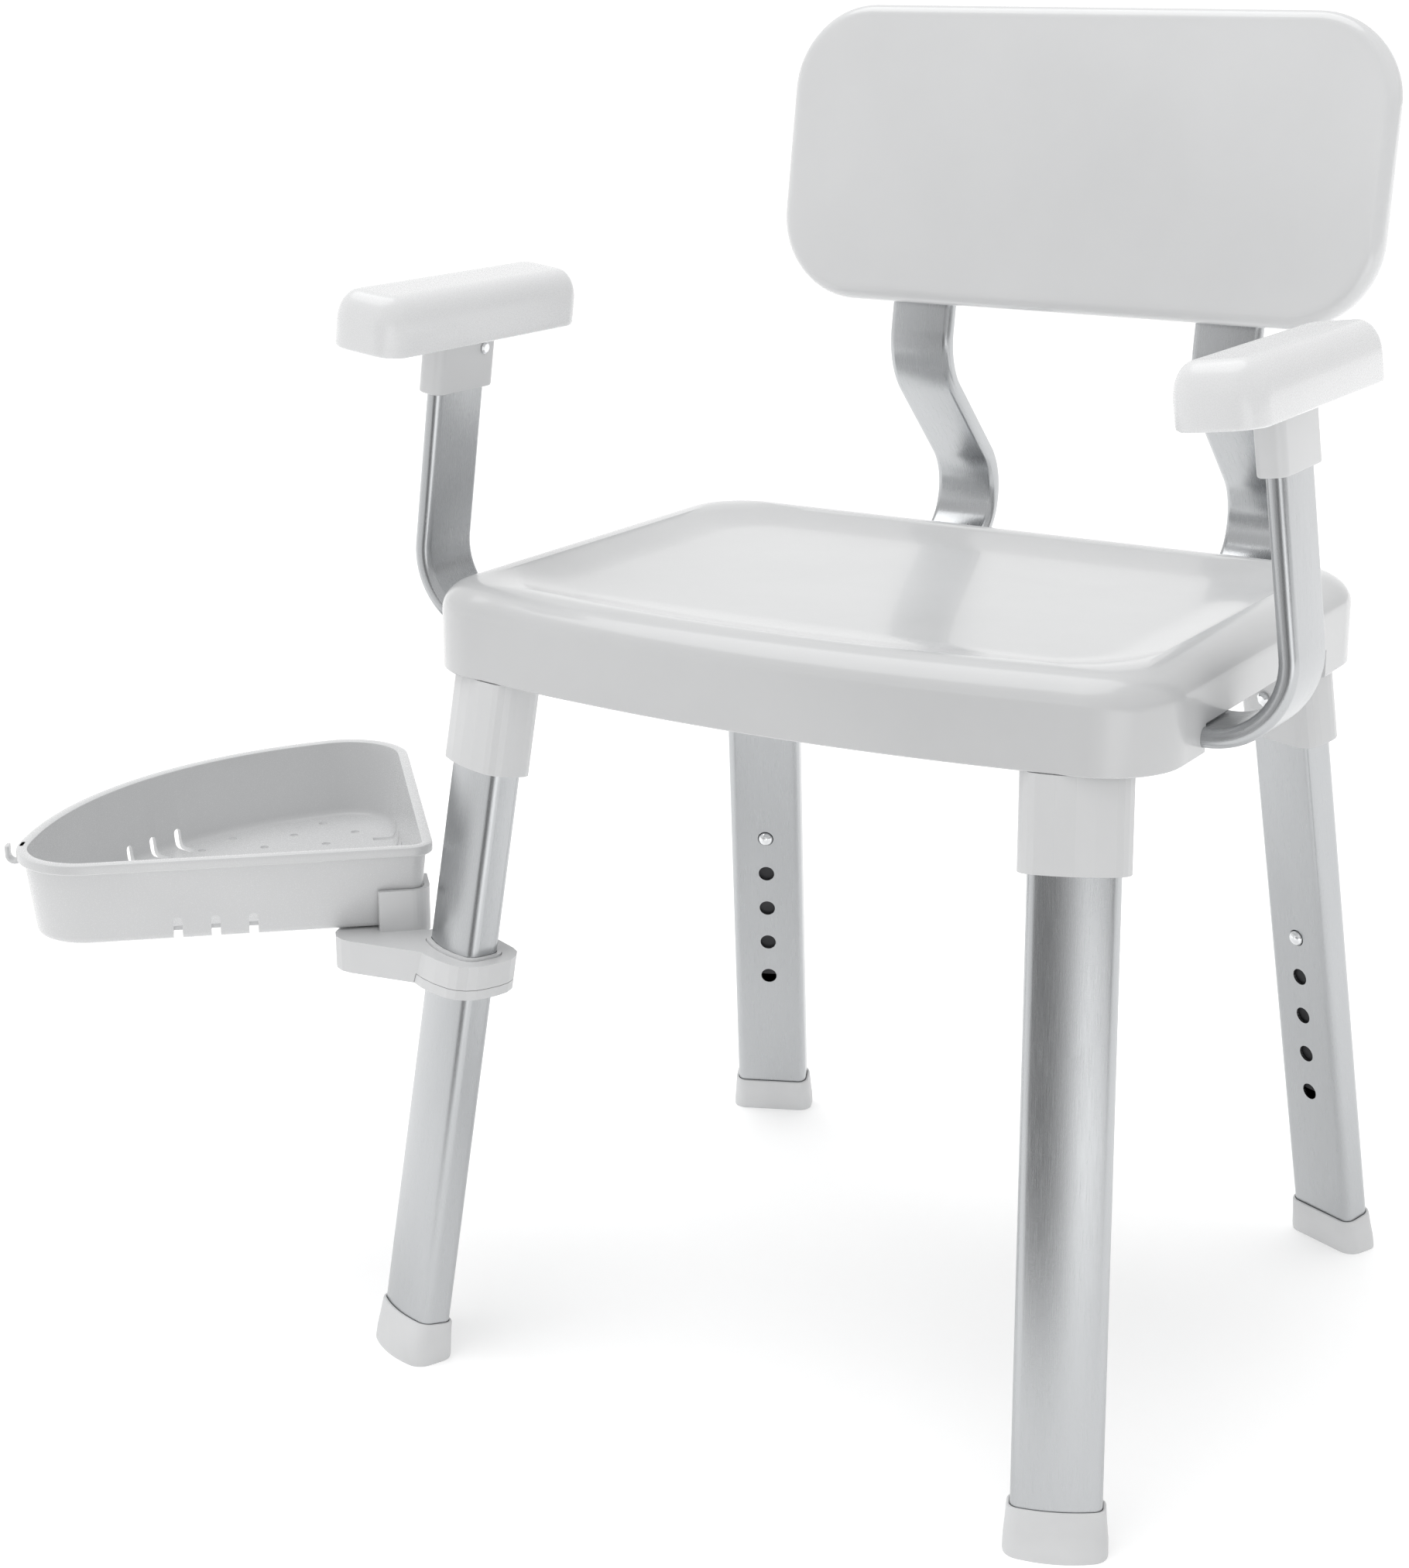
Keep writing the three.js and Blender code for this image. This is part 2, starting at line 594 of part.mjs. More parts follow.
function makeSleeveScrew(side) {
  const face = SLEEVE_THICK / 2 + GAP;
  const screw = turned([
    [0, face + 1.4], [2.4, face + 1.3], [3.4, face + 0.6], [3.4, face],
    [1.8, face], [1.8, STRIP_THICK / 2 + 0.8], [0, STRIP_THICK / 2 + 0.8],
  ], 10);
  const inward = new THREE.Vector3(-side, 0, 0);
  const spot = new THREE.Vector3(0, ARM_Y + SLEEVE_SCREW_SHIFT, alongArm(SLEEVE_SCREW_HEIGHT));
  const turnedIn = matrixOf(AXIS_Y.clone().multiplyScalar(-side), AXIS_Z, inward, spot);
  return placed(placed(screw, turnedIn), armFrame(side));
}

function makePad(side) {
  const from = alongArm(PAD_FROM);
  const to = alongArm(PAD_TO);
  const shape = rectangle(PAD_WIDTH, PAD_LENGTH, PAD_CORNER, 0, PAD_Y);
  let pad = roundedPrism(shape, from - 12, to, 11, 12, 3, 3);
  pad = pad.subtract(belowHeight(from));
  const socket = rectangle(STRIP_THICK + 2 * GAP, ARM_WIDTH + 2 * GAP, STRIP_EDGE, 0, ARM_Y);
  pad = pad.subtract(prism(socket, from - 1, alongArm(ARM_TOP) + 2, 3));
  return placed(pad, armFrame(side));
}

// ---------------------------------------------------------------- under-seat sockets
const crossHole = (x, y, from, radius = LOCK_RADIUS + 0.4) =>
  toSolid(new THREE.CylinderGeometry(radius, radius, STRIP_THICK + 2, 12)
    .rotateX(Math.PI / 2).translate(x, y, from + STRIP_THICK / 2));

// A box tunnel around a run, standing on the underside of the seat.
function makeSocket(centre, size, boreSize, lock) {
  const low = RUN_HEIGHT - STRIP_THICK / 2 - GAP - SOCKET_WALL;
  const high = SEAT_CEILING - GAP;
  let socket = block([centre[0], centre[1], (low + high) / 2], [size[0], size[1], high - low]);
  socket = socket.subtract(block([centre[0], centre[1], RUN_HEIGHT], boreSize));
  return socket.subtract(crossHole(lock[0], lock[1], low - STRIP_THICK / 2));
}

function makeArmSocket(side) {
  const middle = (ARM_SOCKET[0] + ARM_SOCKET[1]) / 2;
  const length = ARM_SOCKET[1] - ARM_SOCKET[0];
  const bore = [length + 10, ARM_WIDTH + 2 * GAP, STRIP_THICK + 2 * GAP];
  const size = [length, ARM_WIDTH + 2 * SOCKET_WALL, 0];
  return makeSocket([side * middle, ARM_Y], size, bore, [side * LOCK_X, ARM_Y]);
}

function makeBackSocket(side) {
  const middle = (BACK_SOCKET[0] + BACK_SOCKET[1]) / 2;
  const length = BACK_SOCKET[1] - BACK_SOCKET[0];
  const bore = [BACK_WIDTH + 2 * GAP, length + 10, STRIP_THICK + 2 * GAP];
  const size = [BACK_WIDTH + 2 * SOCKET_WALL, length, 0];
  return makeSocket([side * BACK_X, middle], size, bore, [side * BACK_X, LOCK_Y]);
}

// Spring button that drops through the tube and the floor of its socket.
function makeLockButton(x, y) {
  const inside = RUN_HEIGHT - STRIP_THICK / 2 + STRIP_WALL + GAP;
  const tip = RUN_HEIGHT - STRIP_THICK / 2 - GAP - SOCKET_WALL - LOCK_OUT;
  const button = turned([
    [0, tip],
    [LOCK_RADIUS - 1.2, tip + 0.3],
    [LOCK_RADIUS, tip + 1.5],
    [LOCK_RADIUS, inside],
    [LOCK_RADIUS + LOCK_FLANGE, inside],
    [LOCK_RADIUS + LOCK_FLANGE, inside + 1.2],
    [0, inside + 1.2],
  ]);
  return placed(button, new THREE.Matrix4().makeTranslation(x, y, 0));
}

// ---------------------------------------------------------------- backrest
function makeUpright(side) {
  const tube = inBackPlane(bentTube(BACK_CORNERS, BACK_BENDS, BACK_WIDTH), side * BACK_X);
  return tube.subtract(crossHole(side * BACK_X, LOCK_Y, RUN_HEIGHT - STRIP_THICK));
}

// Local frame of the panel: x across, y up its slope, z towards the sitter.
function panelFrame() {
  const up = new THREE.Vector3(0, PANEL_HEAD[0] - PANEL_FOOT[0], PANEL_HEAD[1] - PANEL_FOOT[1]).normalize();
  const forward = AXIS_X.clone().cross(up);
  return matrixOf(AXIS_X, up, forward, new THREE.Vector3(0, PANEL_FOOT[0], PANEL_FOOT[1]));
}

const panelHeight = Math.hypot(PANEL_HEAD[0] - PANEL_FOOT[0], PANEL_HEAD[1] - PANEL_FOOT[1]);

function makePanel() {
  const shape = rectangle(2 * PANEL_HALF_WIDTH, panelHeight, PANEL_CORNER, 0, panelHeight / 2);
  const half = PANEL_THICK / 2;
  let panel = roundedPrism(shape, -half, half, ...PANEL_EDGE, 2, 4);
  for (const [x, y] of panelScrewPlaces()) {
    panel = panel.subtract(prism(disc(SCREW_BORE, x, y), -half - 1, -half + 7, 4));
  }
  return placed(panel, panelFrame());
}

const panelScrewPlaces = () => [-1, 1].flatMap((side) => [-1, 1].map((edge) => [
  side * BACK_X + edge * (BACK_WIDTH / 2 + CLIP_WALL + CLIP_EAR / 2),
  (CLIP_SPAN[0] + CLIP_SPAN[1]) / 2,
]));

// Saddle that holds an upright against the rear face of the panel.
function makeBackClip(side) {
  const face = -PANEL_THICK / 2 - GAP;
  const depth = STRIP_THICK + 2.4;
  const width = BACK_WIDTH + 2 * CLIP_WALL;
  const middle = (CLIP_SPAN[0] + CLIP_SPAN[1]) / 2;
  const length = CLIP_SPAN[1] - CLIP_SPAN[0];
  const hump = rectangle(width, length, 6, side * BACK_X, middle);
  const ears = rectangle(width + 2 * CLIP_EAR, length / 2, 5, side * BACK_X, middle);
  let clip = prism(hump, face - depth - CLIP_WALL, face, 2).add(prism(ears, face - CLIP_WALL, face, 2));
  const channel = block(
    [side * BACK_X, middle, face - depth / 2 + 0.01],
    [BACK_WIDTH + 2 * GAP, length + 40, depth],
  );
  clip = clip.subtract(channel);
  for (const edge of [-1, 1]) {
    const x = side * BACK_X + edge * (BACK_WIDTH / 2 + CLIP_WALL + CLIP_EAR / 2);
    clip = clip.subtract(prism(disc(SCREW_BORE, x, middle), face - 10, face + 1, 4));
  }
  return placed(clip, panelFrame());
}

function makePanelScrew(x, y) {
  const face = -PANEL_THICK / 2 - GAP - CLIP_WALL - GAP;
  const screw = turned([
    [0, face - 2.2], [2.4, face - 2], [3.6, face - 1], [3.6, face],
    [SCREW_SHANK, face], [SCREW_SHANK, -PANEL_THICK / 2 + 6], [0, -PANEL_THICK / 2 + 6],
  ], 10);
  return placed(placed(screw, new THREE.Matrix4().makeTranslation(x, y, 0)), panelFrame());
}

// ---------------------------------------------------------------- tray
// Quarter-round outline in the tray's own plane: the corner is the origin and
// the two straight sides leave it at 45 degrees on either side of +x.
function trayOutline(inset) {
  const near = Math.max(TRAY_NEAR_CORNER - inset, 2);
  const far = TRAY_FAR_CORNER - inset;
  const radius = TRAY_RADIUS - inset;
  const eighth = Math.PI / 4;
  const apex = inset * Math.SQRT2;
  const depth = inset + far;
  const farAlong = Math.sqrt((radius - far) ** 2 - depth ** 2);
  const spread = Math.atan2(depth, farAlong);
  const shape = new THREE.Shape();
  const nearCentre = apex + near * Math.SQRT2;
  const inwardNormal = (side) => new THREE.Vector2(Math.sin(eighth), -side * Math.cos(eighth));
  const farCentre = (side) => new THREE.Vector2(Math.cos(side * eighth), Math.sin(side * eighth))
    .multiplyScalar(farAlong).addScaledVector(inwardNormal(side), depth);
  const right = farCentre(-1);
  const left = farCentre(1);
  shape.absarc(nearCentre, 0, near, 3 * eighth, 5 * eighth);
  shape.absarc(right.x, right.y, far, -3 * eighth, -eighth + spread);
  shape.absarc(0, 0, radius, -eighth + spread, eighth - spread);
  shape.absarc(left.x, left.y, far, eighth - spread, 3 * eighth);
  shape.closePath();
  return shape;
}

const trayFrame = () => new THREE.Matrix4().makeRotationZ(TRAY_HEADING)
  .setPosition(TRAY_CORNER[0], TRAY_CORNER[1], 0);

const TRAY_CURVE = 4;

function trayBody() {
  const outer = TRAY_LIP + TRAY_DRAFT / 2;
  let body = roundedPrism(trayOutline(outer), TRAY_BOTTOM, TRAY_TOP + 10, 3, 3, 2, TRAY_CURVE);
  body = body.subtract(aboveHeight(TRAY_TOP));
  body = body.add(prism(trayOutline(0), TRAY_TOP - TRAY_LIP_HEIGHT, TRAY_TOP, TRAY_CURVE));
  const room = trayOutline(outer + TRAY_WALL);
  return body.subtract(prism(room, TRAY_BOTTOM + TRAY_WALL, TRAY_TOP + 1, TRAY_CURVE));
}

function drainPlaces() {
  const places = [];
  for (let row = 0; row * DRAIN_ROW < TRAY_RADIUS; row += 1) {
    const across = DRAIN_START + row * DRAIN_ROW;
    const shift = row % 2 ? 0 : DRAIN_PITCH / 2;
    for (let column = 0; column * DRAIN_PITCH < TRAY_RADIUS; column += 1) {
      const along = DRAIN_START + shift + column * DRAIN_PITCH;
      if (Math.hypot(along, across) < DRAIN_REACH) places.push([along, across]);
    }
  }
  return places;
}

// Drains in the floor and slots through the foot of each wall.
function makeTray() {
  let tray = trayBody();
  const eighth = Math.PI / 4;
  for (const [along, across] of drainPlaces()) {
    const x = (along + across) * Math.SQRT1_2;
    const y = (across - along) * Math.SQRT1_2;
    tray = tray.subtract(prism(disc(DRAIN_RADIUS, x, -y), TRAY_BOTTOM - 1, TRAY_BOTTOM + 5, 3));
  }
  const slot = slotCutter();
  for (let step = -1; step <= 1; step += 1) {
    const places = [
      { angle: eighth, distance: FRONT_SLOTS + step * SLOT_PITCH, turn: eighth },
      { angle: -eighth, distance: SIDE_SLOTS + step * SLOT_PITCH, turn: -eighth + Math.PI },
    ];
    for (const { angle, distance, turn } of places) {
      const spot = new THREE.Matrix4().makeRotationZ(turn)
        .setPosition(distance * Math.cos(angle), distance * Math.sin(angle), 0);
      tray = tray.subtract(placed(slot, spot));
    }
    const swing = step * SLOT_PITCH / TRAY_RADIUS;
    const rim = new THREE.Matrix4().makeRotationZ(swing - Math.PI / 2)
      .setPosition(TRAY_RADIUS * Math.cos(swing), TRAY_RADIUS * Math.sin(swing), 0);
    tray = tray.subtract(placed(slot, rim));
  }
  return placed(tray.add(trayHook()), trayFrame());
}

// Arch-topped slot through a wall and the edge of the floor; the wall's outer face is y = 0.
function slotCutter() {
  const half = SLOT_WIDTH / 2;
  const shape = new THREE.Shape();
  shape.moveTo(-half, TRAY_BOTTOM - 1);
  shape.lineTo(half, TRAY_BOTTOM - 1);
  shape.lineTo(half, TRAY_BOTTOM + SLOT_HEIGHT - half);
  shape.absarc(0, TRAY_BOTTOM + SLOT_HEIGHT - half, half, 0, Math.PI);
  shape.closePath();
  const wall = placed(prism(shape, -1, SLOT_DEPTH, 2), matrixOf(AXIS_X, AXIS_Z, AXIS_Y.clone().negate()));
  return wall;
}

// Small open hook on the front rim corner, for a wash cloth.
function trayHook() {
  const hook = new THREE.Shape();
  hook.moveTo(0, 0);
  hook.lineTo(0, -4.5);
  hook.absarc(5, -4.5, 5, Math.PI, 2 * Math.PI);
  hook.lineTo(10, 0.5);
  hook.lineTo(8, 0.5);
  hook.absarc(5, -4.5, 3, 0, -Math.PI, true);
  hook.lineTo(2, 0);
  hook.closePath();
  const far = TRAY_FAR_CORNER;
  const reach = Math.sqrt((TRAY_RADIUS - far) ** 2 - far ** 2);
  const cornerMiddle = new THREE.Vector3(reach + far, reach - far, 0).multiplyScalar(Math.SQRT1_2);
  const out = new THREE.Vector3(Math.cos(HOOK_TURN), Math.sin(HOOK_TURN), 0);
  const across = new THREE.Vector3(-out.y, out.x, 0);
  const origin = cornerMiddle.addScaledVector(out, far - TRAY_LIP).setZ(TRAY_TOP - 1);
  return placed(prism(hook, -3.5, 3.5, 3), matrixOf(out, AXIS_Z, across.negate(), origin));
}

// ---------------------------------------------------------------- tray clamp
function legMiddle(frame, z) {
  const point = new THREE.Vector3(0, LEG_DEPTH / 2, z / frame.elements[10]).applyMatrix4(frame);
  return [point.x, point.y];
}

function ringBand(frame, low, high, grow) {
  const band = placed(legPrism(grow, RING_BOTTOM - 60, RING_TOP + 60), frame);
  return band.subtract(belowHeight(low)).subtract(aboveHeight(high));
}

function clampArmShape(frame, grow) {
  const [x, y] = legMiddle(frame, RING_TOP);
  const [endX, endY] = [x - ARM_REACH, y - ARM_SKEW];
  const direction = Math.atan2(endY - y, endX - x);
  const quarter = Math.PI / 2;
  const shape = new THREE.Shape();
  shape.absarc(x, y, ARM_END_RADIUS + grow, direction - quarter, direction + quarter, true);
  shape.absarc(endX, endY, ARM_END_RADIUS + grow, direction + quarter, direction - quarter, true);
  shape.closePath();
  return shape;
}

// Channel along the leg's flat face, where the snap button stands out.
const reliefCut = (frame) => placed(block(
  [0, -RELIEF_DEPTH / 2, RING_TOP],
  [2 * RELIEF_HALF_WIDTH, RELIEF_DEPTH + 1, RING_TOP],
), frame);

// Upper ring half with the arm and the curved wall that holds the tray's corner.
function makeBracket(frame) {
  let bracket = ringBand(frame, RING_PART + GAP, RING_TOP, RING_PROUD);
  const arm = prism(clampArmShape(frame, 0), RING_BOTTOM, RING_TOP, 4);
  bracket = bracket.add(arm.subtract(ringBand(frame, RING_BOTTOM - 1, RING_PART + GAP, RING_PROUD + GAP)));
  bracket = bracket.add(cupWall());
  bracket = bracket.subtract(ringBand(frame, RING_BOTTOM - 20, RING_TOP + 60, BUSH_THICK + 2 * GAP));
  return bracket.subtract(reliefCut(frame));
}

function cupWall() {
  const body = TRAY_LIP + TRAY_DRAFT / 2;
  const rim = TRAY_BOTTOM + CUP_HEIGHT;
  const outside = prism(trayOutline(body - CUP_CLEAR - CUP_WALL), RING_TOP - 2, rim, TRAY_CURVE);
  const inside = prism(trayOutline(body - CUP_CLEAR), RING_TOP + 0.4, TRAY_TOP, TRAY_CURVE);
  const near = prism(disc(CUP_REACH), 0, TRAY_TOP);
  return placed(outside.subtract(inside).intersect(near), trayFrame());
}

function makeLowerRing(frame) {
  const ring = ringBand(frame, RING_BOTTOM, RING_PART, RING_PROUD);
  const bored = ring.subtract(ringBand(frame, RING_BOTTOM - 20, RING_TOP, BUSH_THICK + 2 * GAP));
  return bored.subtract(reliefCut(frame));
}

function makeBush(frame) {
  const bush = ringBand(frame, RING_BOTTOM + 1, RING_TOP + 1.2, BUSH_THICK + GAP);
  return bush.subtract(ringBand(frame, RING_BOTTOM - 20, RING_TOP + 20, GAP)).subtract(reliefCut(frame));
}

// ---------------------------------------------------------------- assembly
const CORNERS = [
  { side: 1, end: 'front', name: 'front_left' },
  { side: -1, end: 'front', name: 'front_right' },
  { side: 1, end: 'rear', name: 'rear_left' },
  { side: -1, end: 'rear', name: 'rear_right' },
];
const SIDES = [{ side: 1, name: 'left' }, { side: -1, name: 'right' }];

const frames = CORNERS.map(({ side, end }) => legFrame(side, end));
addPart('seat_shell', makeSeat(frames), whitePlastic());

CORNERS.forEach(({ name }, index) => {
  const frame = frames[index];
  const leg = new THREE.Group();
  leg.applyMatrix4(frame);
  chair.add(leg);
  const plateUnderside = placed(aboveHeight(COLLAR_ROOF - COLLAR_PLATE - GAP), frame.clone().invert());
  addPart(`leg_tube_${name}`, makeLegTube(), satinAluminium(), leg);
  addPart(`inner_tube_${name}`, makeInnerTube().subtract(plateUnderside), satinAluminium(), leg);
  addPart(`height_button_${name}`, makeHeightButton(), brightSteel(), leg);
  addPart(`button_spring_${name}`, makeSpringLeaf(), brightSteel(), leg);
  addPart(`collar_screw_${name}`, makeTabScrew(), brightSteel(), leg);
  addPart(`leg_collar_${name}`, makeCollar(frame), whitePlastic());
  addPart(`foot_cap_${name}`, makeFootCap(frame), rubberGrey());
});

SIDES.forEach(({ side, name }) => {
  addPart(`arm_tube_${name}`, makeArmTube(side), satinAluminium());
  addPart(`arm_sleeve_${name}`, makeSleeve(side), whitePlastic());
  addPart(`arm_sleeve_screw_${name}`, makeSleeveScrew(side), brightSteel());
  addPart(`arm_pad_${name}`, makePad(side), whitePlastic());
  addPart(`arm_socket_${name}`, makeArmSocket(side), whitePlastic());
  addPart(`arm_lock_button_${name}`, makeLockButton(side * LOCK_X, ARM_Y), brightSteel());
  addPart(`back_upright_${name}`, makeUpright(side), satinAluminium());
  addPart(`back_socket_${name}`, makeBackSocket(side), whitePlastic());
  addPart(`back_lock_button_${name}`, makeLockButton(side * BACK_X, LOCK_Y), brightSteel());
  addPart(`back_clip_${name}`, makeBackClip(side), whitePlastic());
});

addPart('back_panel', makePanel(), whitePlastic());
panelScrewPlaces().forEach(([x, y], index) => {
  addPart(`back_screw_${index + 1}`, makePanelScrew(x, y), brightSteel());
});

const trayLeg = frames[1];
addPart('tray_basket', makeTray(), whitePlastic());
addPart('tray_bracket', makeBracket(trayLeg), whitePlastic());
addPart('tray_lower_ring', makeLowerRing(trayLeg), whitePlastic());
addPart('tray_bush', makeBush(trayLeg), whitePlastic());

const bounds = new THREE.Box3().setFromObject(chair, true);
const middle = bounds.getCenter(new THREE.Vector3());
chair.position.set(-middle.x, -middle.y, -bounds.min.z);

export default chair;
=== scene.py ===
import math

import bpy
from mathutils import Matrix, Vector


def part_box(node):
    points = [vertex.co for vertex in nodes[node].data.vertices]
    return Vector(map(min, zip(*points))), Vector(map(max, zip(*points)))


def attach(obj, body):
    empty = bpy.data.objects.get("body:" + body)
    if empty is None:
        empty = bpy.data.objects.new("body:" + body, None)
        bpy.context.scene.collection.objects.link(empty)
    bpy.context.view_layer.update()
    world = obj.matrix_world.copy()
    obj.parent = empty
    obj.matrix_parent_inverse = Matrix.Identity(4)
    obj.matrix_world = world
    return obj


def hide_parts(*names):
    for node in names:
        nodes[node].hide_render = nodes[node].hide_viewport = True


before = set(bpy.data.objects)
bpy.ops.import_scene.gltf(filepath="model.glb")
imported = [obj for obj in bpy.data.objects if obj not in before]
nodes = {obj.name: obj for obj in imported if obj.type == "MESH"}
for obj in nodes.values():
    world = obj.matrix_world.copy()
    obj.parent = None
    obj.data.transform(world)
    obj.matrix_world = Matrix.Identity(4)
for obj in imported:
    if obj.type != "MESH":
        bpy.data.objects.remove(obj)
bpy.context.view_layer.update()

MM = 0.001
QUARTER = math.pi / 2
EIGHTH = math.pi / 4

# Sizes are in millimetres from the chair's own origin, which lies on the floor under the middle
# of the seat: x to the chair's left, y to the rear, z up.
SEAT_HALF = 207
SEAT_REAR = 155
SEAT_FRONT = -151
SEAT_CEILING = 404         # underside of the seat's top wall
SEAT_LOWER_EDGE = 371
SEAT_TUBE_EDGE = 385.1     # lower edge above a tube that leaves the seat
SIDE_STEP = (-83.05, 82.05)
REAR_STEP = (75.25, 116.55)
SEAT_EDGE_DROP = 402       # where the rounded edge meets the side wall
SEAT_TOP = 417
DISH_DEPTH = 6
DISH_WIDTH = 34            # width of the slope between the crest and the dish

LEG_FOOT_X = 188.2
LEG_LEAN_X = 0.074
LEG_HEADING = math.radians(23.6)
LEG_HALF_WIDTH = 22
LEG_DEPTH = 21
LEG_CROWN = 4              # rise of the domed face
LEG_FROM, LEG_TO = 6, 330
LEG_ROOM = (337, 405)      # stations where the seat leaves room for a raised leg
HOLE_TOP = 201.3
HOLE_PITCH = 25
HOLE_COUNT = 5
HOLE_RADIUS = 4.9
TUBE_WALL = 1.6
GAP = 0.3

RUN_HEIGHT = 379.5         # centre line of the tubes under the seat
STRIP_THICK = 10
LOCK_HOLE_RADIUS = 3.8
ARM_X = 252
ARM_Y = -68.5
ARM_WIDTH = 42
ARM_LEAN = math.radians(7.4)
ARM_SECANT = 1 / math.cos(ARM_LEAN)
ARM_TOP = 548
ARM_LOCK_X = 140
PAD_Y = -70
PAD_FROM = 535.5
BACK_X = 95.9
BACK_WIDTH = 40
BACK_LOCK_Y = 100
PANEL_LOW = (195.7, 533)   # y and z of the panel's middle plane, below and above
PANEL_HIGH = (222.4, 702)
PANEL_WIDTH = 370
PANEL_CORNER = 50

TRAY_CORNER = (-202.5, -142)
TRAY_HEADING = math.radians(176.9)
TRAY_RADIUS = 224
TRAY_NEAR = 12             # radius of the corner by the leg
TRAY_FAR = 38              # radius of the two far corners
DRAIN_REACH = 204
DRAIN_RADIUS = 2.5
SLOT_HALF_WIDTH = 2.4

# The chair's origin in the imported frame.
seat_low, seat_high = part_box("seat_shell")
ORIGIN = Vector(((seat_low.x + seat_high.x) / 2, seat_high.y - SEAT_REAR * MM, 0))
TO_FRAME = Matrix.Translation(ORIGIN) @ Matrix.Scale(MM, 4)

# Side sign, front or rear sign, the foot's distance from the x axis, the leg's lean along y.
CORNERS = {
    "front_left": (1, -1, 179.5, 0.149),
    "front_right": (-1, -1, 179.5, 0.149),
    "rear_left": (1, 1, 194.9, 0.1795),
    "rear_right": (-1, 1, 194.9, 0.1795),
}
SIDES = {"left": 1, "right": -1}


# ------------------------------------------------------------------ camera
def make_camera():
    data = bpy.data.cameras.new("camera")
    data.sensor_fit = "HORIZONTAL"
    data.sensor_width = 36
    data.lens = 71.2
    data.shift_x = -0.0100
    data.shift_y = -0.0333
    data.clip_end = 100
    camera = bpy.data.objects.new("camera", data)
    camera.location = ORIGIN + Vector((666.15, -1274.41, 735.92)) * MM
    camera.rotation_euler = (math.radians(90 - 15.86), 0, math.radians(31.37))
    bpy.context.scene.collection.objects.link(camera)
    bpy.context.scene.camera = camera


# ------------------------------------------------------------------ materials
class Shader:
    """A Principled material under construction."""

    def __init__(self, name, **values):
        self.material = bpy.data.materials.new(name)
        self.material.use_nodes = True
        self.nodes = self.material.node_tree.nodes
        self.links = self.material.node_tree.links
        self.base = self.nodes["Principled BSDF"]
        for key, value in values.items():
            self.base.inputs[key.replace("_", " ")].default_value = value

    def coordinates(self, kind, scale):
        place = self.nodes.new("ShaderNodeTexCoord")
        mapping = self.nodes.new("ShaderNodeMapping")
        mapping.inputs["Scale"].default_value = scale
        self.links.new(place.outputs[kind], mapping.inputs["Vector"])
        return mapping.outputs["Vector"]

    def noise(self, vector, detail=3.0, roughness=0.55):
        noise = self.nodes.new("ShaderNodeTexNoise")
        noise.inputs["Scale"].default_value = 1.0
        noise.inputs["Detail"].default_value = detail
        noise.inputs["Roughness"].default_value = roughness
        self.links.new(vector, noise.inputs["Vector"])
        return noise.outputs["Fac"]

    def spread(self, value, low, high, socket):
        spread = self.nodes.new("ShaderNodeMapRange")
        spread.inputs["From Min"].default_value = 0.25
        spread.inputs["From Max"].default_value = 0.75
        spread.inputs["To Min"].default_value = low
        spread.inputs["To Max"].default_value = high
        self.links.new(value, spread.inputs["Value"])
        self.links.new(spread.outputs["Result"], self.base.inputs[socket])

    def tint(self, value, low, high):
        ramp = self.nodes.new("ShaderNodeValToRGB")
        ramp.color_ramp.elements[0].position = 0.3
        ramp.color_ramp.elements[1].position = 0.7
        ramp.color_ramp.elements[0].color = (*low, 1)
        ramp.color_ramp.elements[1].color = (*high, 1)
        self.links.new(value, ramp.inputs["Fac"])
        self.links.new(ramp.outputs["Color"], self.base.inputs["Base Color"])

    def bump(self, layers):
        """layers are (value, strength, height in metres); each rides on the one before."""
        normal = None
        for value, strength, height in layers:
            bump = self.nodes.new("ShaderNodeBump")
            bump.inputs["Strength"].default_value = strength
            bump.inputs["Distance"].default_value = height
            self.links.new(value, bump.inputs["Height"])
            if normal:
                self.links.new(normal, bump.inputs["Normal"])
            normal = bump.outputs["Normal"]
        self.links.new(normal, self.base.inputs["Normal"])


def cool_grey(value, tint=0.005):
    return (value, value + tint, value + 2 * tint)


def plastic(name, value, roughness, coat, grain=0.3):
    """Moulded plastic: a faint flow mottle, a fine orange peel and a slightly uneven gloss."""
    shader = Shader(name, Coat_Weight=coat, Coat_Roughness=0.06, Specular_IOR_Level=0.5)
    mottle = shader.noise(shader.coordinates("Object", (14, 14, 14)), 4)
    peel = shader.noise(shader.coordinates("Object", (160, 160, 160)), 2)
    fine = shader.noise(shader.coordinates("Object", (1800, 1800, 1800)), 2)
    shader.tint(mottle, cool_grey(value), cool_grey(value + 0.025))
    shader.spread(fine, roughness - 0.02, roughness + 0.03, "Roughness")
    shader.bump([(peel, 0.05 * grain, 0.0005), (fine, 0.06 * grain, 0.00005)])
    return shader.material


def brushed(name, low, high, roughness, coordinates, across, along):
    """Satin anodised aluminium: hairlines along the extrusion over a fine etched grain."""
    shader = Shader(name, Metallic=1.0, Anisotropic=0.35)
    lines = shader.noise(shader.coordinates(coordinates, (across, along, across)), 5, 0.65)
    grain = shader.noise(shader.coordinates("Object", (2300, 2300, 2300)), 3, 0.6)
    cloud = shader.noise(shader.coordinates("Object", (18, 18, 6)), 3)
    shader.tint(cloud, low, high)
    shader.spread(lines, roughness - 0.05, roughness + 0.07, "Roughness")
    shader.bump([(lines, 0.10, 0.00015), (grain, 0.22, 0.00012)])
    return shader.material


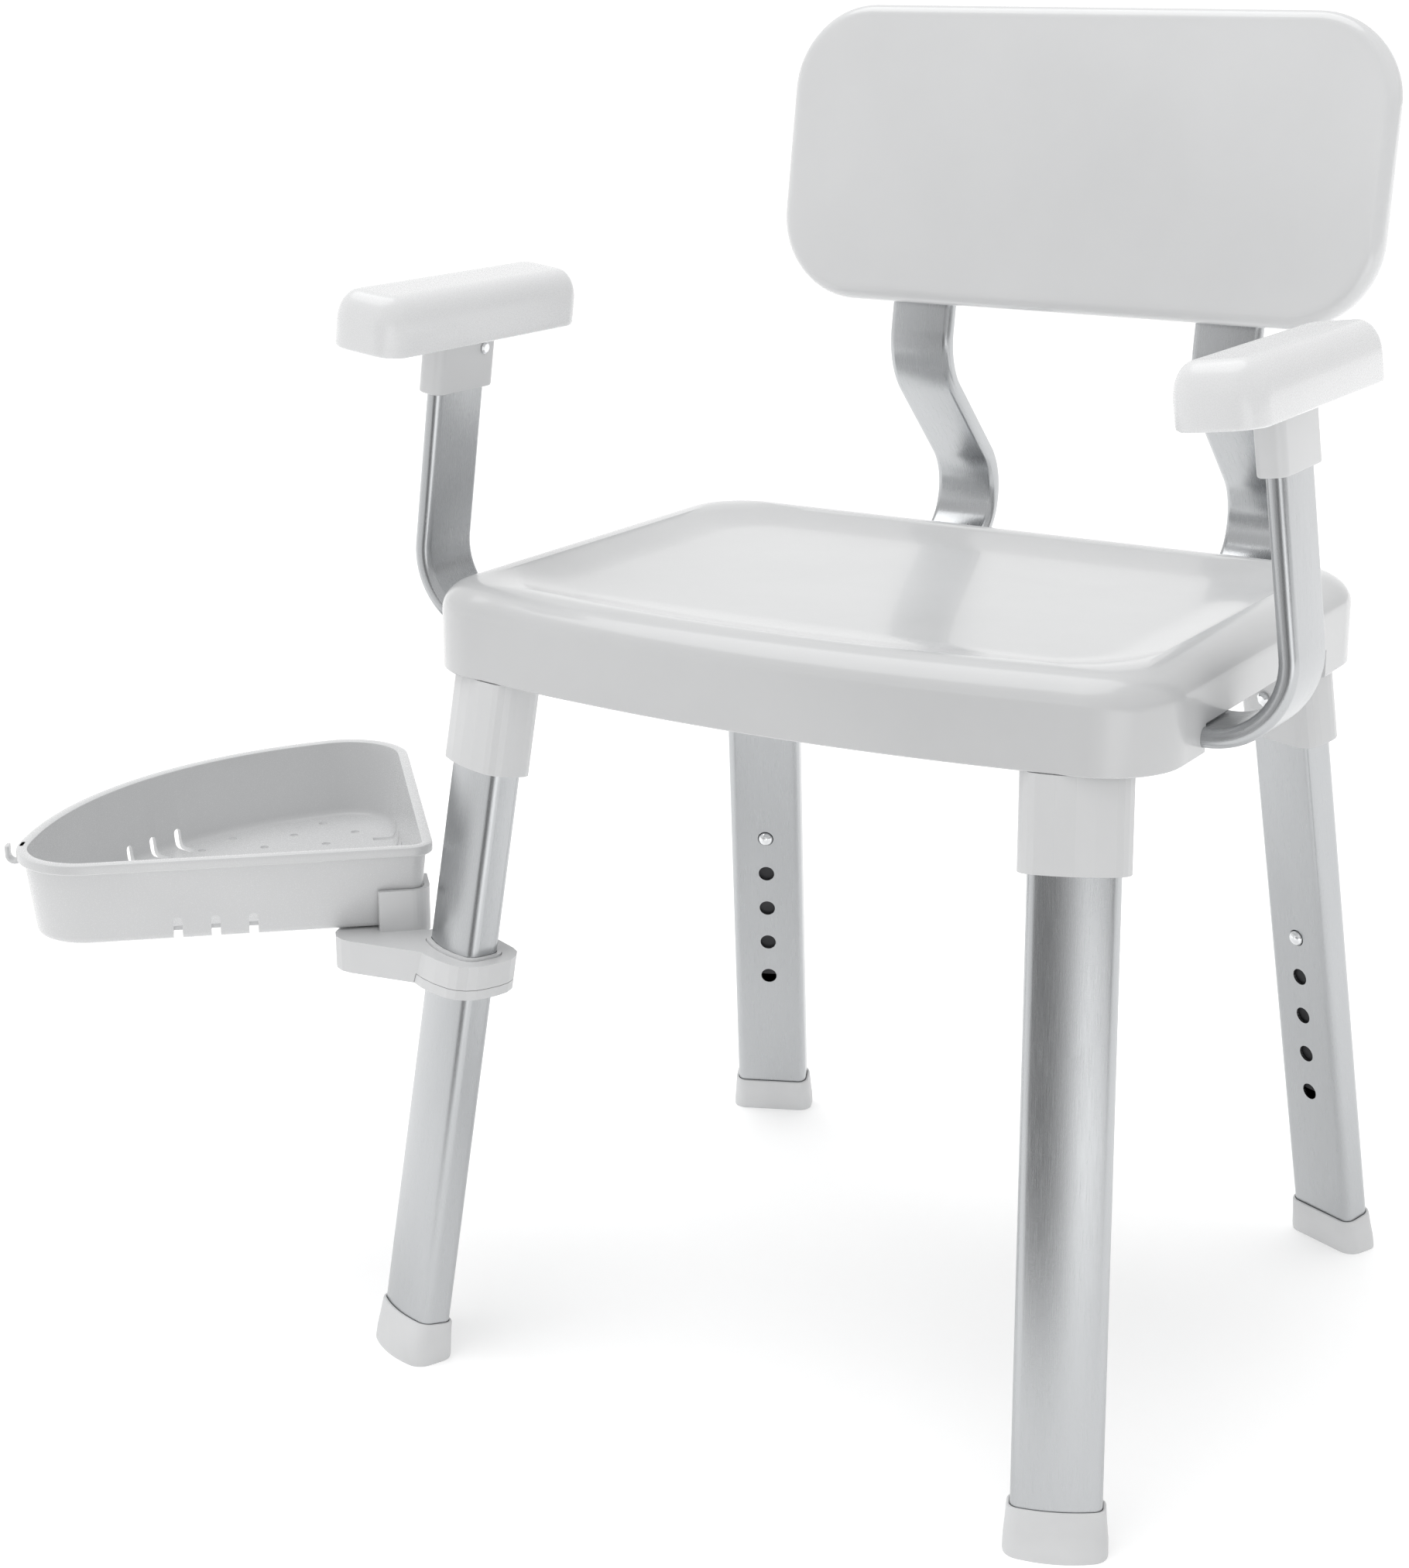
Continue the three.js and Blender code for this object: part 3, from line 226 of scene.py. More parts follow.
def make_materials():
    steel = Shader("steel", Metallic=1.0)
    scratch = steel.noise(steel.coordinates("Object", (900, 900, 900)), 4)
    steel.tint(scratch, cool_grey(0.74, 0.01), cool_grey(0.82, 0.01))
    steel.spread(scratch, 0.10, 0.19, "Roughness")
    steel.bump([(scratch, 0.08, 0.0001)])

    rubber = Shader("cap_rubber", Specular_IOR_Level=0.4)
    dust = rubber.noise(rubber.coordinates("Object", (700, 700, 700)), 4)
    cloud = rubber.noise(rubber.coordinates("Object", (30, 30, 30)), 3)
    rubber.tint(cloud, cool_grey(0.63), cool_grey(0.68))
    rubber.spread(dust, 0.42, 0.56, "Roughness")
    rubber.bump([(dust, 0.18, 0.0002)])

    outer = (cool_grey(0.46, 0.01), cool_grey(0.49, 0.01))
    # The inner tube's near-black colour is painted shade: it darkens the inside of the leg so the holes
    # read as black voids.
    inner = ((0.035, 0.035, 0.037), (0.06, 0.06, 0.063))
    return {
        "seat": plastic("seat_plastic", 0.57, 0.22, 0.30),
        "panel": plastic("panel_plastic", 0.70, 0.17, 0.5),
        "pad": plastic("pad_plastic", 0.74, 0.27, 0.25),
        "tray": plastic("tray_plastic", 0.62, 0.26, 0.2),
        "fitting": plastic("fitting_plastic", 0.63, 0.33, 0.1, 0.6),
        "aluminium": brushed("anodised_aluminium", *outer, 0.24, "UV", 2200, 50),
        "inner": brushed("inner_aluminium_painted_shade", *inner, 0.5, "Object", 1800, 60),
        "steel": steel.material,
        "rubber": rubber.material,
    }


# ------------------------------------------------------------------ outlines
def arc(x, y, radius, start, end, steps):
    angles = [start + (end - start) * i / steps for i in range(steps + 1)]
    return [(x + radius * math.cos(a), y + radius * math.sin(a)) for a in angles]


def rounded(width, height, corner, x=0, y=0, steps=8):
    half_x, half_y = width / 2 - corner, height / 2 - corner
    middles = [(half_x, half_y), (-half_x, half_y), (-half_x, -half_y), (half_x, -half_y)]
    points = []
    for turn, (dx, dy) in enumerate(middles):
        points += arc(x + dx, y + dy, corner, turn * QUARTER, (turn + 1) * QUARTER, steps)
    return points


def leg_section(grow, steps=8):
    """The leg tube's outline: a flat inner face at y = 0 and a domed outer face."""
    half = LEG_HALF_WIDTH + grow
    crown = (LEG_HALF_WIDTH ** 2 + LEG_CROWN ** 2) / (2 * LEG_CROWN) + grow
    centre = LEG_DEPTH + grow - crown
    outer, inner = 6 + grow, 5 + grow
    sweep = math.asin((half - outer) / (crown - outer))
    shoulder = centre + (crown - outer) * math.cos(sweep)
    return (
        arc(half - inner, inner - grow, inner, -QUARTER, 0, steps)
        + arc(half - outer, shoulder, outer, 0, QUARTER - sweep, steps)
        + arc(0, centre, crown, QUARTER - sweep, QUARTER + sweep, 2 * steps)[1:-1]
        + arc(outer - half, shoulder, outer, QUARTER + sweep, 2 * QUARTER, steps)
        + arc(inner - half, inner - grow, inner, 2 * QUARTER, 3 * QUARTER, steps)
    )


def tray_outline(inset, steps=14):
    """Quarter round with its corner at the origin and its straight sides at 45 degrees to +x."""
    near, far, radius = max(TRAY_NEAR - inset, 2), TRAY_FAR - inset, TRAY_RADIUS - inset
    depth = inset + far
    reach = math.sqrt((radius - far) ** 2 - depth ** 2)
    spread = math.atan2(depth, reach)
    near_centre = inset * math.sqrt(2) + near * math.sqrt(2)
    middles = {}
    for side in (-1, 1):
        x = reach * math.cos(side * EIGHTH) + depth * math.sin(EIGHTH)
        y = reach * math.sin(side * EIGHTH) - side * depth * math.cos(EIGHTH)
        middles[side] = (x, y)
    return (
        arc(near_centre, 0, near, 3 * EIGHTH, 5 * EIGHTH, steps)
        + arc(*middles[-1], far, -3 * EIGHTH, spread - EIGHTH, steps)
        + arc(0, 0, radius, spread - EIGHTH, EIGHTH - spread, 3 * steps)[1:-1]
        + arc(*middles[1], far, EIGHTH - spread, 3 * EIGHTH, steps)
    )


# ------------------------------------------------------------------ meshes
def ring(points, z):
    return [Vector((x, y, z)) for x, y in points]


class Form:
    """Vertices, faces and texture places of a piece, in millimetres."""

    def __init__(self):
        self.vertices = []
        self.faces = []
        self.places = []

    def loft(self, rings, loop=False):
        """Joins closed rings of equal count, in order, and closes the ends or joins them."""
        count = len(rings[0])
        base = len(self.vertices)
        around = [0.0]
        for i in range(count):
            around.append(around[-1] + (rings[0][(i + 1) % count] - rings[0][i]).length * MM)
        along = [0.0]
        for a, b in zip(rings, rings[1:]):
            along.append(along[-1] + max((a[0] - b[0]).length, 0.01) * MM)
        for points in rings:
            self.vertices += points
        pairs = list(zip(range(len(rings)), range(1, len(rings))))
        if loop:
            pairs.append((len(rings) - 1, 0))
        for lower, upper in pairs:
            for i in range(count):
                j = (i + 1) % count
                a, b = base + lower * count, base + upper * count
                self.faces.append((a + i, a + j, b + j, b + i))
                low, high = along[lower], along[upper]
                self.places.append(
                    [(around[i], low), (around[i + 1], low), (around[i + 1], high), (around[i], high)]
                )
        if not loop:
            self.cap([base + i for i in reversed(range(count))])
            self.cap([base + (len(rings) - 1) * count + i for i in range(count)])
        return self

    def cap(self, face):
        self.faces.append(tuple(face))
        self.places.append([(self.vertices[i].x * MM, self.vertices[i].y * MM) for i in face])

    def piece(self, name, material, matrix=Matrix.Identity(4), sharp=35):
        mesh = bpy.data.meshes.new(name)
        mesh.from_pydata([matrix @ v for v in self.vertices], [], self.faces)
        layer = mesh.uv_layers.new(name="UVMap")
        flat = [value for places in self.places for place in places for value in place]
        layer.data.foreach_set("uv", flat)
        mesh.transform(TO_FRAME)
        mesh.materials.append(material)
        mesh.validate()
        obj = bpy.data.objects.new(name, mesh)
        bpy.context.scene.collection.objects.link(obj)
        smooth(mesh, sharp)
        return obj


def smooth(mesh, angle):
    mesh.polygons.foreach_set("use_smooth", [True] * len(mesh.polygons))
    mesh.set_sharp_from_angle(angle=math.radians(angle))
    mesh.update()


def cut(obj, cutter, angle=35):
    """Takes the cutter out of the piece for good."""
    modifier = obj.modifiers.new("cut", "BOOLEAN")
    modifier.object = cutter
    modifier.operation = "DIFFERENCE"
    modifier.solver = "EXACT"
    modifier.use_self = True
    bpy.context.view_layer.update()
    graph = bpy.context.evaluated_depsgraph_get()
    result = bpy.data.meshes.new_from_object(obj.evaluated_get(graph))
    obj.modifiers.clear()
    obj.data = result
    bpy.data.objects.remove(cutter)
    smooth(result, angle)


def soften(obj, width):
    """Rounds a piece's hard edges."""
    bevel = obj.modifiers.new("soft_edges", "BEVEL")
    bevel.width = width * MM
    bevel.segments = 2
    bevel.limit_method = "ANGLE"
    bevel.angle_limit = math.radians(40)
    bevel.harden_normals = True
    bevel.use_clamp_overlap = True


def finish_piece(obj, body, slot, *replaced):
    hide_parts(*replaced)
    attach(obj, body)


def dress(name, material, soft=0.0):
    """A CAD piece whose shape stays gets its finish, and softened edges where asked."""
    obj = nodes[name]
    obj.data.materials.clear()
    obj.data.materials.append(material)
    smooth(obj.data, 38)
    if soft:
        soften(obj, soft)


# ------------------------------------------------------------------ local frames
def frame_of(x_axis, y_axis, z_axis, origin):
    matrix = Matrix((x_axis, y_axis, z_axis)).transposed().to_4x4()
    matrix.translation = origin
    return matrix


def leg_frame(corner):
    side, sign, foot_y, lean_y = CORNERS[corner]
    up = Vector((-side * LEG_LEAN_X, -sign * lean_y, 1)).normalized()
    outward = Vector((side * math.sin(LEG_HEADING), sign * math.cos(LEG_HEADING), 0))
    outward = (outward - up * outward.dot(up)).normalized()
    return frame_of(outward.cross(up), outward, up, Vector((side * LEG_FOOT_X, sign * foot_y, 0)))


def arm_frame(side):
    up = Vector((-side * math.sin(ARM_LEAN), 0, math.cos(ARM_LEAN)))
    out = Vector((math.cos(ARM_LEAN), 0, side * math.sin(ARM_LEAN)))
    foot = Vector((side * (ARM_X + RUN_HEIGHT * math.tan(ARM_LEAN)), 0, 0))
    return frame_of(out, Vector((0, 1, 0)), up, foot)


def panel_frame():
    up = (Vector((0, *PANEL_HIGH)) - Vector((0, *PANEL_LOW))).normalized()
    return frame_of(Vector((1, 0, 0)), up, Vector((1, 0, 0)).cross(up), Vector((0, *PANEL_LOW)))


# ------------------------------------------------------------------ seat
# Extra points along the seat's straight sides, beside the steps in its lower edge.
SIDE_BREAKS = [109.0, 82.1, 82.0, 81.9, 40, 0, -40, -82.9, -83.0, -83.1, -108.0]
REAR_BREAKS = [160, 116.6, 116.5, 116.4, 96, 75.4, 75.3, 75.2, 30]


def seat_ring(half, rear, front, bow, rear_corner, front_corner, height):
    """One ring of the seat, counter-clockwise; height is a number, or a function of x and y."""
    x, y = half - rear_corner, rear - rear_corner
    u, v = half - front_corner, front + front_corner
    rear_line = [b / 162 * x for b in REAR_BREAKS]
    rear_line += [-b for b in reversed(rear_line)]
    side_line = [v + (b + 109) / 219 * (y - v) for b in SIDE_BREAKS]
    points = arc(x, y, rear_corner, 0, QUARTER, 12)
    points += [(b, rear) for b in rear_line]
    points += arc(-x, y, rear_corner, QUARTER, 2 * QUARTER, 12)
    points += [(-half, b) for b in side_line]
    points += arc(-u, v, front_corner, 2 * QUARTER, 3 * QUARTER, 12)
    for i in range(1, 40):
        t = i / 40
        points.append((u * (2 * t - 1), front - 2 * t * (1 - t) * bow))
    points += arc(u, v, front_corner, 3 * QUARTER, 4 * QUARTER, 12)
    points += [(half, b) for b in reversed(side_line)]
    if callable(height):
        return [Vector((px, py, height(px, py))) for px, py in points]
    return ring(points, height)


def make_seat(material):
    def outline(inset, height):
        return seat_ring(
            SEAT_HALF - inset, SEAT_REAR - inset, SEAT_FRONT + inset, 32, 45 - inset, 42 - inset, height,
        )

    def lower_edge(offset):
        def height(x, y):
            beside = abs(x) > 190 and SIDE_STEP[0] < y < SIDE_STEP[1]
            behind = y > 140 and REAR_STEP[0] < abs(x) < REAR_STEP[1]
            return (SEAT_TUBE_EDGE if beside or behind else SEAT_LOWER_EDGE) + offset
        return height

    rings = [outline(3, SEAT_CEILING), outline(3, SEAT_CEILING - 4)]
    rings += [outline(3, lower_edge(0.8)), outline(2.4, lower_edge(0))]
    rings += [outline(0.7, lower_edge(0)), outline(0, lower_edge(0.7)), outline(0, SEAT_EDGE_DROP - 0.5)]
    for step in range(1, 13):
        angle = step / 12 * QUARTER
        height = SEAT_EDGE_DROP + (SEAT_TOP - SEAT_EDGE_DROP) * math.sin(angle)
        rings.append(outline(20 * (1 - math.cos(angle)), height))
    # The dish falls away inside a crest; its outline straightens and tightens on the way down.
    half, rear, front = 186, 134, -130
    for step in range(15):
        t = step / 14
        travel = DISH_WIDTH * t if step else 1.5
        corner = 56 * (1 - t) + 26 * t if step else 32
        rings.append(seat_ring(
            half - travel, rear - travel, front + travel, 32 * (1 - t) ** 1.3, corner, corner,
            SEAT_TOP - DISH_DEPTH * (1 - (1 - t) ** 1.9),
        ))
    rings.append(seat_ring(146, 92, -88, 0, 22, 22, SEAT_TOP - DISH_DEPTH))
    form = Form().loft(rings)
    room = Form()
    for corner in CORNERS:
        matrix = leg_frame(corner)
        tab = []
        for inset, station in ((0.8, 342), (0, 343), (0, 408)):
            section = rounded(24 - 2 * inset, 3.5 - 2 * inset * 0.9, 0.8, 0, -6.75, 3)
            tab.append([matrix @ p for p in ring(section, station)])
        form.loft(tab)
        room.loft([[matrix @ p for p in ring(leg_section(2 * GAP), z)] for z in LEG_ROOM])
    seat = form.piece("seat", material)
    cut(seat, room.piece("leg_room", material))
    finish_piece(seat, "frame", "white_plastic", "seat_shell")


# ------------------------------------------------------------------ bent tubes
def bent_path(corners, bends, steps=18):
    """Centre line of a bent tube: (point, direction) pairs in its plane."""
    points = [Vector(c) for c in corners]
    path = [(points[0], (points[1] - points[0]).normalized())]
    for i in range(1, len(points) - 1):
        before = (points[i] - points[i - 1]).normalized()
        after = (points[i + 1] - points[i]).normalized()
        turn = before.x * after.y - before.y * after.x
        angle = math.copysign(math.acos(max(-1, min(1, before.dot(after)))), turn)
        radius = bends[i - 1]
        entry = points[i] - before * (radius * math.tan(abs(angle) / 2))
        normal = Vector((-before.y, before.x)) * math.copysign(1, turn)
        centre = entry + normal * radius
        for k in range(steps + 1):
            a = angle * k / steps
            spin = Matrix.Rotation(a, 2)
            path.append((centre + spin @ (entry - centre), spin @ before))
    path.append((points[-1], (points[-1] - points[-2]).normalized()))
    return path


def tube_rings(path, section, to_space):
    rings = []
    for point, direction in path:
        normal = Vector((-direction.y, direction.x))
        rings.append([to_space(point + normal * v, u) for u, v in section])
    return rings


def make_flat_tube(name, corners, bends, width, to_space, material, lock, node, flip):
    """A hollow flat tube bent at the corners, with a hole for the lock button at (x, y) below."""
    path = bent_path(corners, bends)
    outer = rounded(width, STRIP_THICK, 4.3, 0, 0, 9)
    inner = rounded(width - 2 * TUBE_WALL, STRIP_THICK - 2 * TUBE_WALL, 2.9, 0, 0, 9)
    if flip:
        outer.reverse()
        inner.reverse()
    outside, bore = tube_rings(path, outer, to_space), tube_rings(path, inner, to_space)
    tube = Form().loft(outside + bore[::-1], loop=True).piece(name, material, sharp=50)
    spot = Vector((*lock, 0))
    levels = [(LOCK_HOLE_RADIUS, RUN_HEIGHT - STRIP_THICK), (LOCK_HOLE_RADIUS, RUN_HEIGHT)]
    bar = Form().loft([[spot + p for p in points] for points in turned(levels)])
    cut(tube, bar.piece("lock_hole", material), 50)
    finish_piece(tube, "frame", "anodised_aluminium", node)


def arm_rings(levels, width, length, corner, y):
    """Rings of an armrest piece; levels are (inset across, inset along, height)."""
    rings = []
    for across, along, height in levels:
        radius = max(corner - max(across, along), 0.6)
        section = rounded(width - 2 * across, length - 2 * along, radius, 0, y)
        rings.append(ring(section, height * ARM_SECANT))
    return rings


def make_arm(name, side, materials):
    top = ARM_X - (ARM_TOP - RUN_HEIGHT) * math.tan(ARM_LEAN)
    corners = [(side * 104, RUN_HEIGHT), (side * ARM_X, RUN_HEIGHT), (side * top, ARM_TOP)]

    def to_space(point, across):
        return Vector((point.x, ARM_Y + across, point.y))

    make_flat_tube(
        f"armrest_tube_{name}", corners, [38.5], ARM_WIDTH, to_space,
        materials["aluminium"], (side * ARM_LOCK_X, ARM_Y), f"arm_tube_{name}", False,
    )
    local = arm_frame(side)
    low, high = 506, 535.2
    sleeve = [(1.0, 1.0, low), (0.3, 0.3, low + 0.4), (0, 0, low + 1.2), (0, 0, high)]
    bore = rounded(STRIP_THICK + 2 * GAP, ARM_WIDTH + 2 * GAP, 4.4, 0, ARM_Y)
    rings = arm_rings(sleeve, 15.5, 51, 5.5, ARM_Y) + [ring(bore, z * ARM_SECANT) for z in (high, low)]
    piece = Form().loft(rings, loop=True).piece(f"armrest_sleeve_{name}", materials["fitting"], local)
    finish_piece(piece, "frame", "white_plastic", f"arm_sleeve_{name}")

    shoulder = 549
    pad = [(1.5, 1.5, PAD_FROM), (0.4, 0.4, 536.3), (0, 0, 537.6), (0, 0, shoulder)]
    for step in range(1, 10):
        angle = step / 9 * QUARTER
        inset = 11 * (1 - math.cos(angle))
        pad.append((inset, inset, shoulder + 16.5 * math.sin(angle)))
    pad.append((13, 13, shoulder + 16.5))
    rings = arm_rings(pad, 44, 172, 14, PAD_Y)
    piece = Form().loft(rings).piece(f"armrest_pad_{name}", materials["pad"], local)
    finish_piece(piece, "frame", "white_plastic", f"arm_pad_{name}")


def make_back(materials):
    corners = [(60, RUN_HEIGHT), (269.6, RUN_HEIGHT), (280, 421.8), (205.5, 494.5), (233.4, 671)]
    for name, side in SIDES.items():
        def to_space(point, across, x=side * BACK_X):
            return Vector((x + across, point.x, point.y))

        make_flat_tube(
            f"backrest_tube_{name}", corners, [29, 34.5, 41.5], BACK_WIDTH, to_space,
            materials["aluminium"], (side * BACK_X, BACK_LOCK_Y), f"back_upright_{name}", True,
        )
    height = math.dist(PANEL_LOW, PANEL_HIGH)
    rounding = []
    for step in range(9):
        angle = step / 8 * QUARTER
        rounding.append((7 * (1 - math.sin(angle)), -9 + 8 * (1 - math.cos(angle))))
    rounding += [(inset, -depth) for inset, depth in reversed(rounding)]
    rings = []
    for inset, depth in [(10, -9), *rounding, (10, 9)]:
        section = rounded(
            PANEL_WIDTH - 2 * inset, height - 2 * inset, PANEL_CORNER - inset, 0, height / 2, 18,
        )
        rings.append(ring(section, depth))
    piece = Form().loft(rings).piece("backrest_panel", materials["panel"], panel_frame())
    finish_piece(piece, "frame", "white_plastic", "back_panel")


# ------------------------------------------------------------------ legs
def turned(profile, steps=32):
    """Rings of a turned piece about local z; profile points are (radius, height), rising."""
    rings = []
    for radius, height in profile:
        rings.append(ring(arc(0, 0, max(radius, 0.02), 0, 2 * math.pi, steps)[:-1], height))
    return rings


def across_leg(station):
    """Turns a piece's z axis into the leg's inward direction, at that station."""
    return frame_of(Vector((1, 0, 0)), Vector((0, 0, 1)), Vector((0, -1, 0)), Vector((0, 0, station)))


def make_leg_tube(corner, matrix, material):
    levels = [(-0.3, LEG_FROM), (0, LEG_FROM + 0.3), (0, LEG_TO - 0.4), (-0.3, LEG_TO)]
    outer = [ring(leg_section(grow), station) for grow, station in levels]
    inner = [ring(leg_section(-TUBE_WALL), station) for station in (LEG_TO, LEG_FROM)]
    tube = Form().loft(outer + inner, loop=True).piece(f"leg_{corner}", material, matrix)
    holes = Form()
    for hole in range(HOLE_COUNT):
        place = across_leg(HOLE_TOP - HOLE_PITCH * hole)
        bar = turned([(HOLE_RADIUS, -10), (HOLE_RADIUS, 4)], 40)
        holes.loft([[place @ p for p in points] for points in bar])
    cut(tube, holes.piece("holes", material, matrix))
    finish_piece(tube, f"leg_{corner}", "anodised_aluminium", f"leg_tube_{corner}")


def make_snap_button(corner, matrix, material):
    """A domed button with a flange, on the strip that holds it to its spring leaf."""
    radius, dome_from, dome_rise = 4.5, 5.0, 3.45
    profile = [(0, 0), (5.9, 0), (6.0, 0.2), (6.0, 1.2), (radius, 1.25), (radius, dome_from)]
    for step in range(1, 8):
        angle = step / 7 * QUARTER
        profile.append((radius * math.cos(angle), dome_from + dome_rise * math.sin(angle)))
    place = across_leg(HOLE_TOP) @ Matrix.Translation(Vector((0, 0, -5.05)))
    form = Form().loft([[place @ p for p in points] for points in turned(profile)])
    strip = [(4.5, 7), (4.5, -6), (7.6, -34), (8.3, -34), (5.2, -6), (5.2, 7)]
    form.loft([[Vector((x, y, HOLE_TOP + z)) for y, z in strip] for x in (-4, 4)])
    piece = form.piece(f"snap_button_{corner}", material, matrix)
    finish_piece(piece, f"height_button_{corner}", "bright_steel", f"height_button_{corner}")


def make_foot(corner, matrix, material):
    """A flared cap whose sole lies flat on the floor; levels are (growth, station)."""
    sole = [(3.0, 0.0), (3.2, 1.2)]
    wall = [(3.1, 4), (2.3, 12), (1.75, 19.6), (1.5, 20.4), (0.9, 20.7), (GAP, 20.6), (GAP, 8)]
    up = matrix.to_3x3() @ Vector((0, 0, 1))
    rings = []
    for grow, height in sole:
        points = [matrix @ p for p in ring(leg_section(grow), height)]
        rings.append([p + up * ((height - p.z) / up.z) for p in points])
    rings += [[matrix @ p for p in ring(leg_section(grow), station)] for grow, station in wall]
    piece = Form().loft(rings).piece(f"foot_{corner}", material)
    finish_piece(piece, f"leg_{corner}", "grey_rubber", f"foot_cap_{corner}")


# ------------------------------------------------------------------ tray
def drain_places():
    places = []
    for row in range(12):
        across = 33.5 + 20 * row
        for column in range(7):
            along = 33.5 + (0 if row % 2 else 18) + 36 * column
            if math.hypot(along, across) < DRAIN_REACH:
                places.append((along, across))
    return places


def slot_spots():
    """Three slots in each wall: (heading, distance from the tray's corner, turn) of each."""
    spots = []
    for step in (-1, 0, 1):
        swing = step * 20 / TRAY_RADIUS
        spots.append((EIGHTH, 117 + 20 * step, EIGHTH))
        spots.append((-EIGHTH, 137 + 20 * step, -EIGHTH + math.pi))
        spots.append((swing, TRAY_RADIUS, swing - QUARTER))
    return spots


def make_tray(materials):
    place = Matrix.Translation(Vector((*TRAY_CORNER, 0))) @ Matrix.Rotation(TRAY_HEADING, 4, "Z")
    # (inset, height): the outside from the floor up, over the lip, and down the inside.
    shell = [(13, 225), (10.6, 225.4), (9.0, 226.6), (8.3, 228.6), (3.6, 266.3), (3.2, 266.5)]
    shell += [(0.5, 266.6), (0, 267.2), (0, 271.2), (0.25, 271.75), (0.8, 272), (5.0, 272)]
    shell += [(5.7, 271.6), (5.9, 270.8), (10.4, 231.4), (11.2, 229), (12.8, 227.7), (15, 227.4)]
    form = Form().loft([ring(tray_outline(inset), height) for inset, height in shell])
    tray = form.piece("tray", materials["tray"], place)
    holes = Form()
    for along, across in drain_places():
        x, y = (along + across) * math.sqrt(0.5), (along - across) * math.sqrt(0.5)
        spot = Matrix.Translation(Vector((x, y, 0)))
        drain = turned([(DRAIN_RADIUS, 223), (DRAIN_RADIUS, 231)], 20)
        holes.loft([[spot @ p for p in points] for points in drain])
    half, foot, top = SLOT_HALF_WIDTH, 223, 238
    slot = [(half, foot), *arc(0, top - half, half, 0, math.pi, 8), (-half, foot)]
    for angle, distance, turn in slot_spots():
        spot = Vector((distance * math.cos(angle), distance * math.sin(angle), 0))
        matrix = Matrix.Translation(spot) @ Matrix.Rotation(turn, 4, "Z")
        holes.loft([[matrix @ Vector((x, y, z)) for x, z in slot] for y in (1.5, -24)])
    cut(tray, holes.piece("tray_holes", materials["tray"], place))
    finish_piece(tray, "tray", "white_plastic", "tray_basket")
    make_hook(materials, place)


def make_hook(materials, place):
    """Small open hook on the rim's far front corner."""
    middle = [(1, 1), (1, -4.5), *arc(5, -4.5, 4, math.pi, 2 * math.pi, 12), (9, 0.5)]
    reach = math.sqrt((TRAY_RADIUS - TRAY_FAR) ** 2 - TRAY_FAR ** 2)
    out = Vector((math.cos(0.6), math.sin(0.6), 0))
    far_corner = Vector((reach + TRAY_FAR, reach - TRAY_FAR, 0)) * math.sqrt(0.5)
    origin = far_corner + out * (TRAY_FAR - 3.4)
    origin.z = 271
    up = Vector((0, 0, 1))
    local = frame_of(out, up, out.cross(up), origin)
    section = rounded(7, 2, 0.9, 0, 0, 4)[::-1]
    rings = []
    for index, (x, y) in enumerate(middle):
        before = Vector(middle[max(index - 1, 0)])
        after = Vector(middle[min(index + 1, len(middle) - 1)])
        direction = (after - before).normalized()
        rings.append([local @ Vector((x - direction.y * v, y + direction.x * v, u)) for u, v in section])
    hook = Form().loft(rings).piece("tray_hook", materials["tray"], place)
    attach(hook, "tray")


# ------------------------------------------------------------------ pieces kept from the CAD
def dress_cad_pieces(materials):
    fittings = ["tray_bracket", "tray_lower_ring", "tray_bush"]
    for corner in CORNERS:
        fittings.append(f"leg_collar_{corner}")
        # The inner tubes get the near-black finish, which is painted shade inside the legs.
        dress(f"inner_tube_{corner}", materials["inner"])
        dress(f"button_spring_{corner}", materials["steel"])
        dress(f"collar_screw_{corner}", materials["steel"])
    for side in SIDES:
        fittings += [f"arm_socket_{side}", f"back_socket_{side}", f"back_clip_{side}"]
        dress(f"arm_sleeve_screw_{side}", materials["steel"])
        dress(f"arm_lock_button_{side}", materials["steel"])
        dress(f"back_lock_button_{side}", materials["steel"])
    for number in range(1, 5):
        dress(f"back_screw_{number}", materials["steel"])
    for name in fittings:
        dress(name, materials["fitting"], 0.8)


# ------------------------------------------------------------------ studio
# Studio brightness by heading, in degrees from +x; the chair faces -90. The softboxes and the
# ceiling lie above a slightly tilted plane, the walls below it.
WALLS = [
    (-180, 1.05), (-155, 1.15), (-118, 1.0), (-104, 0.28), (-82, 0.24), (-66, 0.8), (-54, 2.0),
    (-30, 2.0), (-18, 0.3), (28, 0.3), (48, 0.85), (70, 1.12), (180, 1.05),
]
CEILING = [
    (-180, 0.65), (-160, 0.7), (-135, 1.7), (-95, 1.7), (-75, 0.7), (-20, 0.4), (50, 0.4), (95, 1.1),
    (148, 1.1), (166, 0.65), (180, 0.65),
]
CEILING_EDGE = (0.1995, 0.1579, 0.9671)
ZENITH = 0.78
MIX_SHARE, MIX_A, MIX_B, MIX_RESULT = 0, 6, 7, 2   # sockets of a Mix node set to colours
FLOOR_FRONT, FLOOR_REAR, FLOOR_SIDE = -0.95, 24, 12   # metres


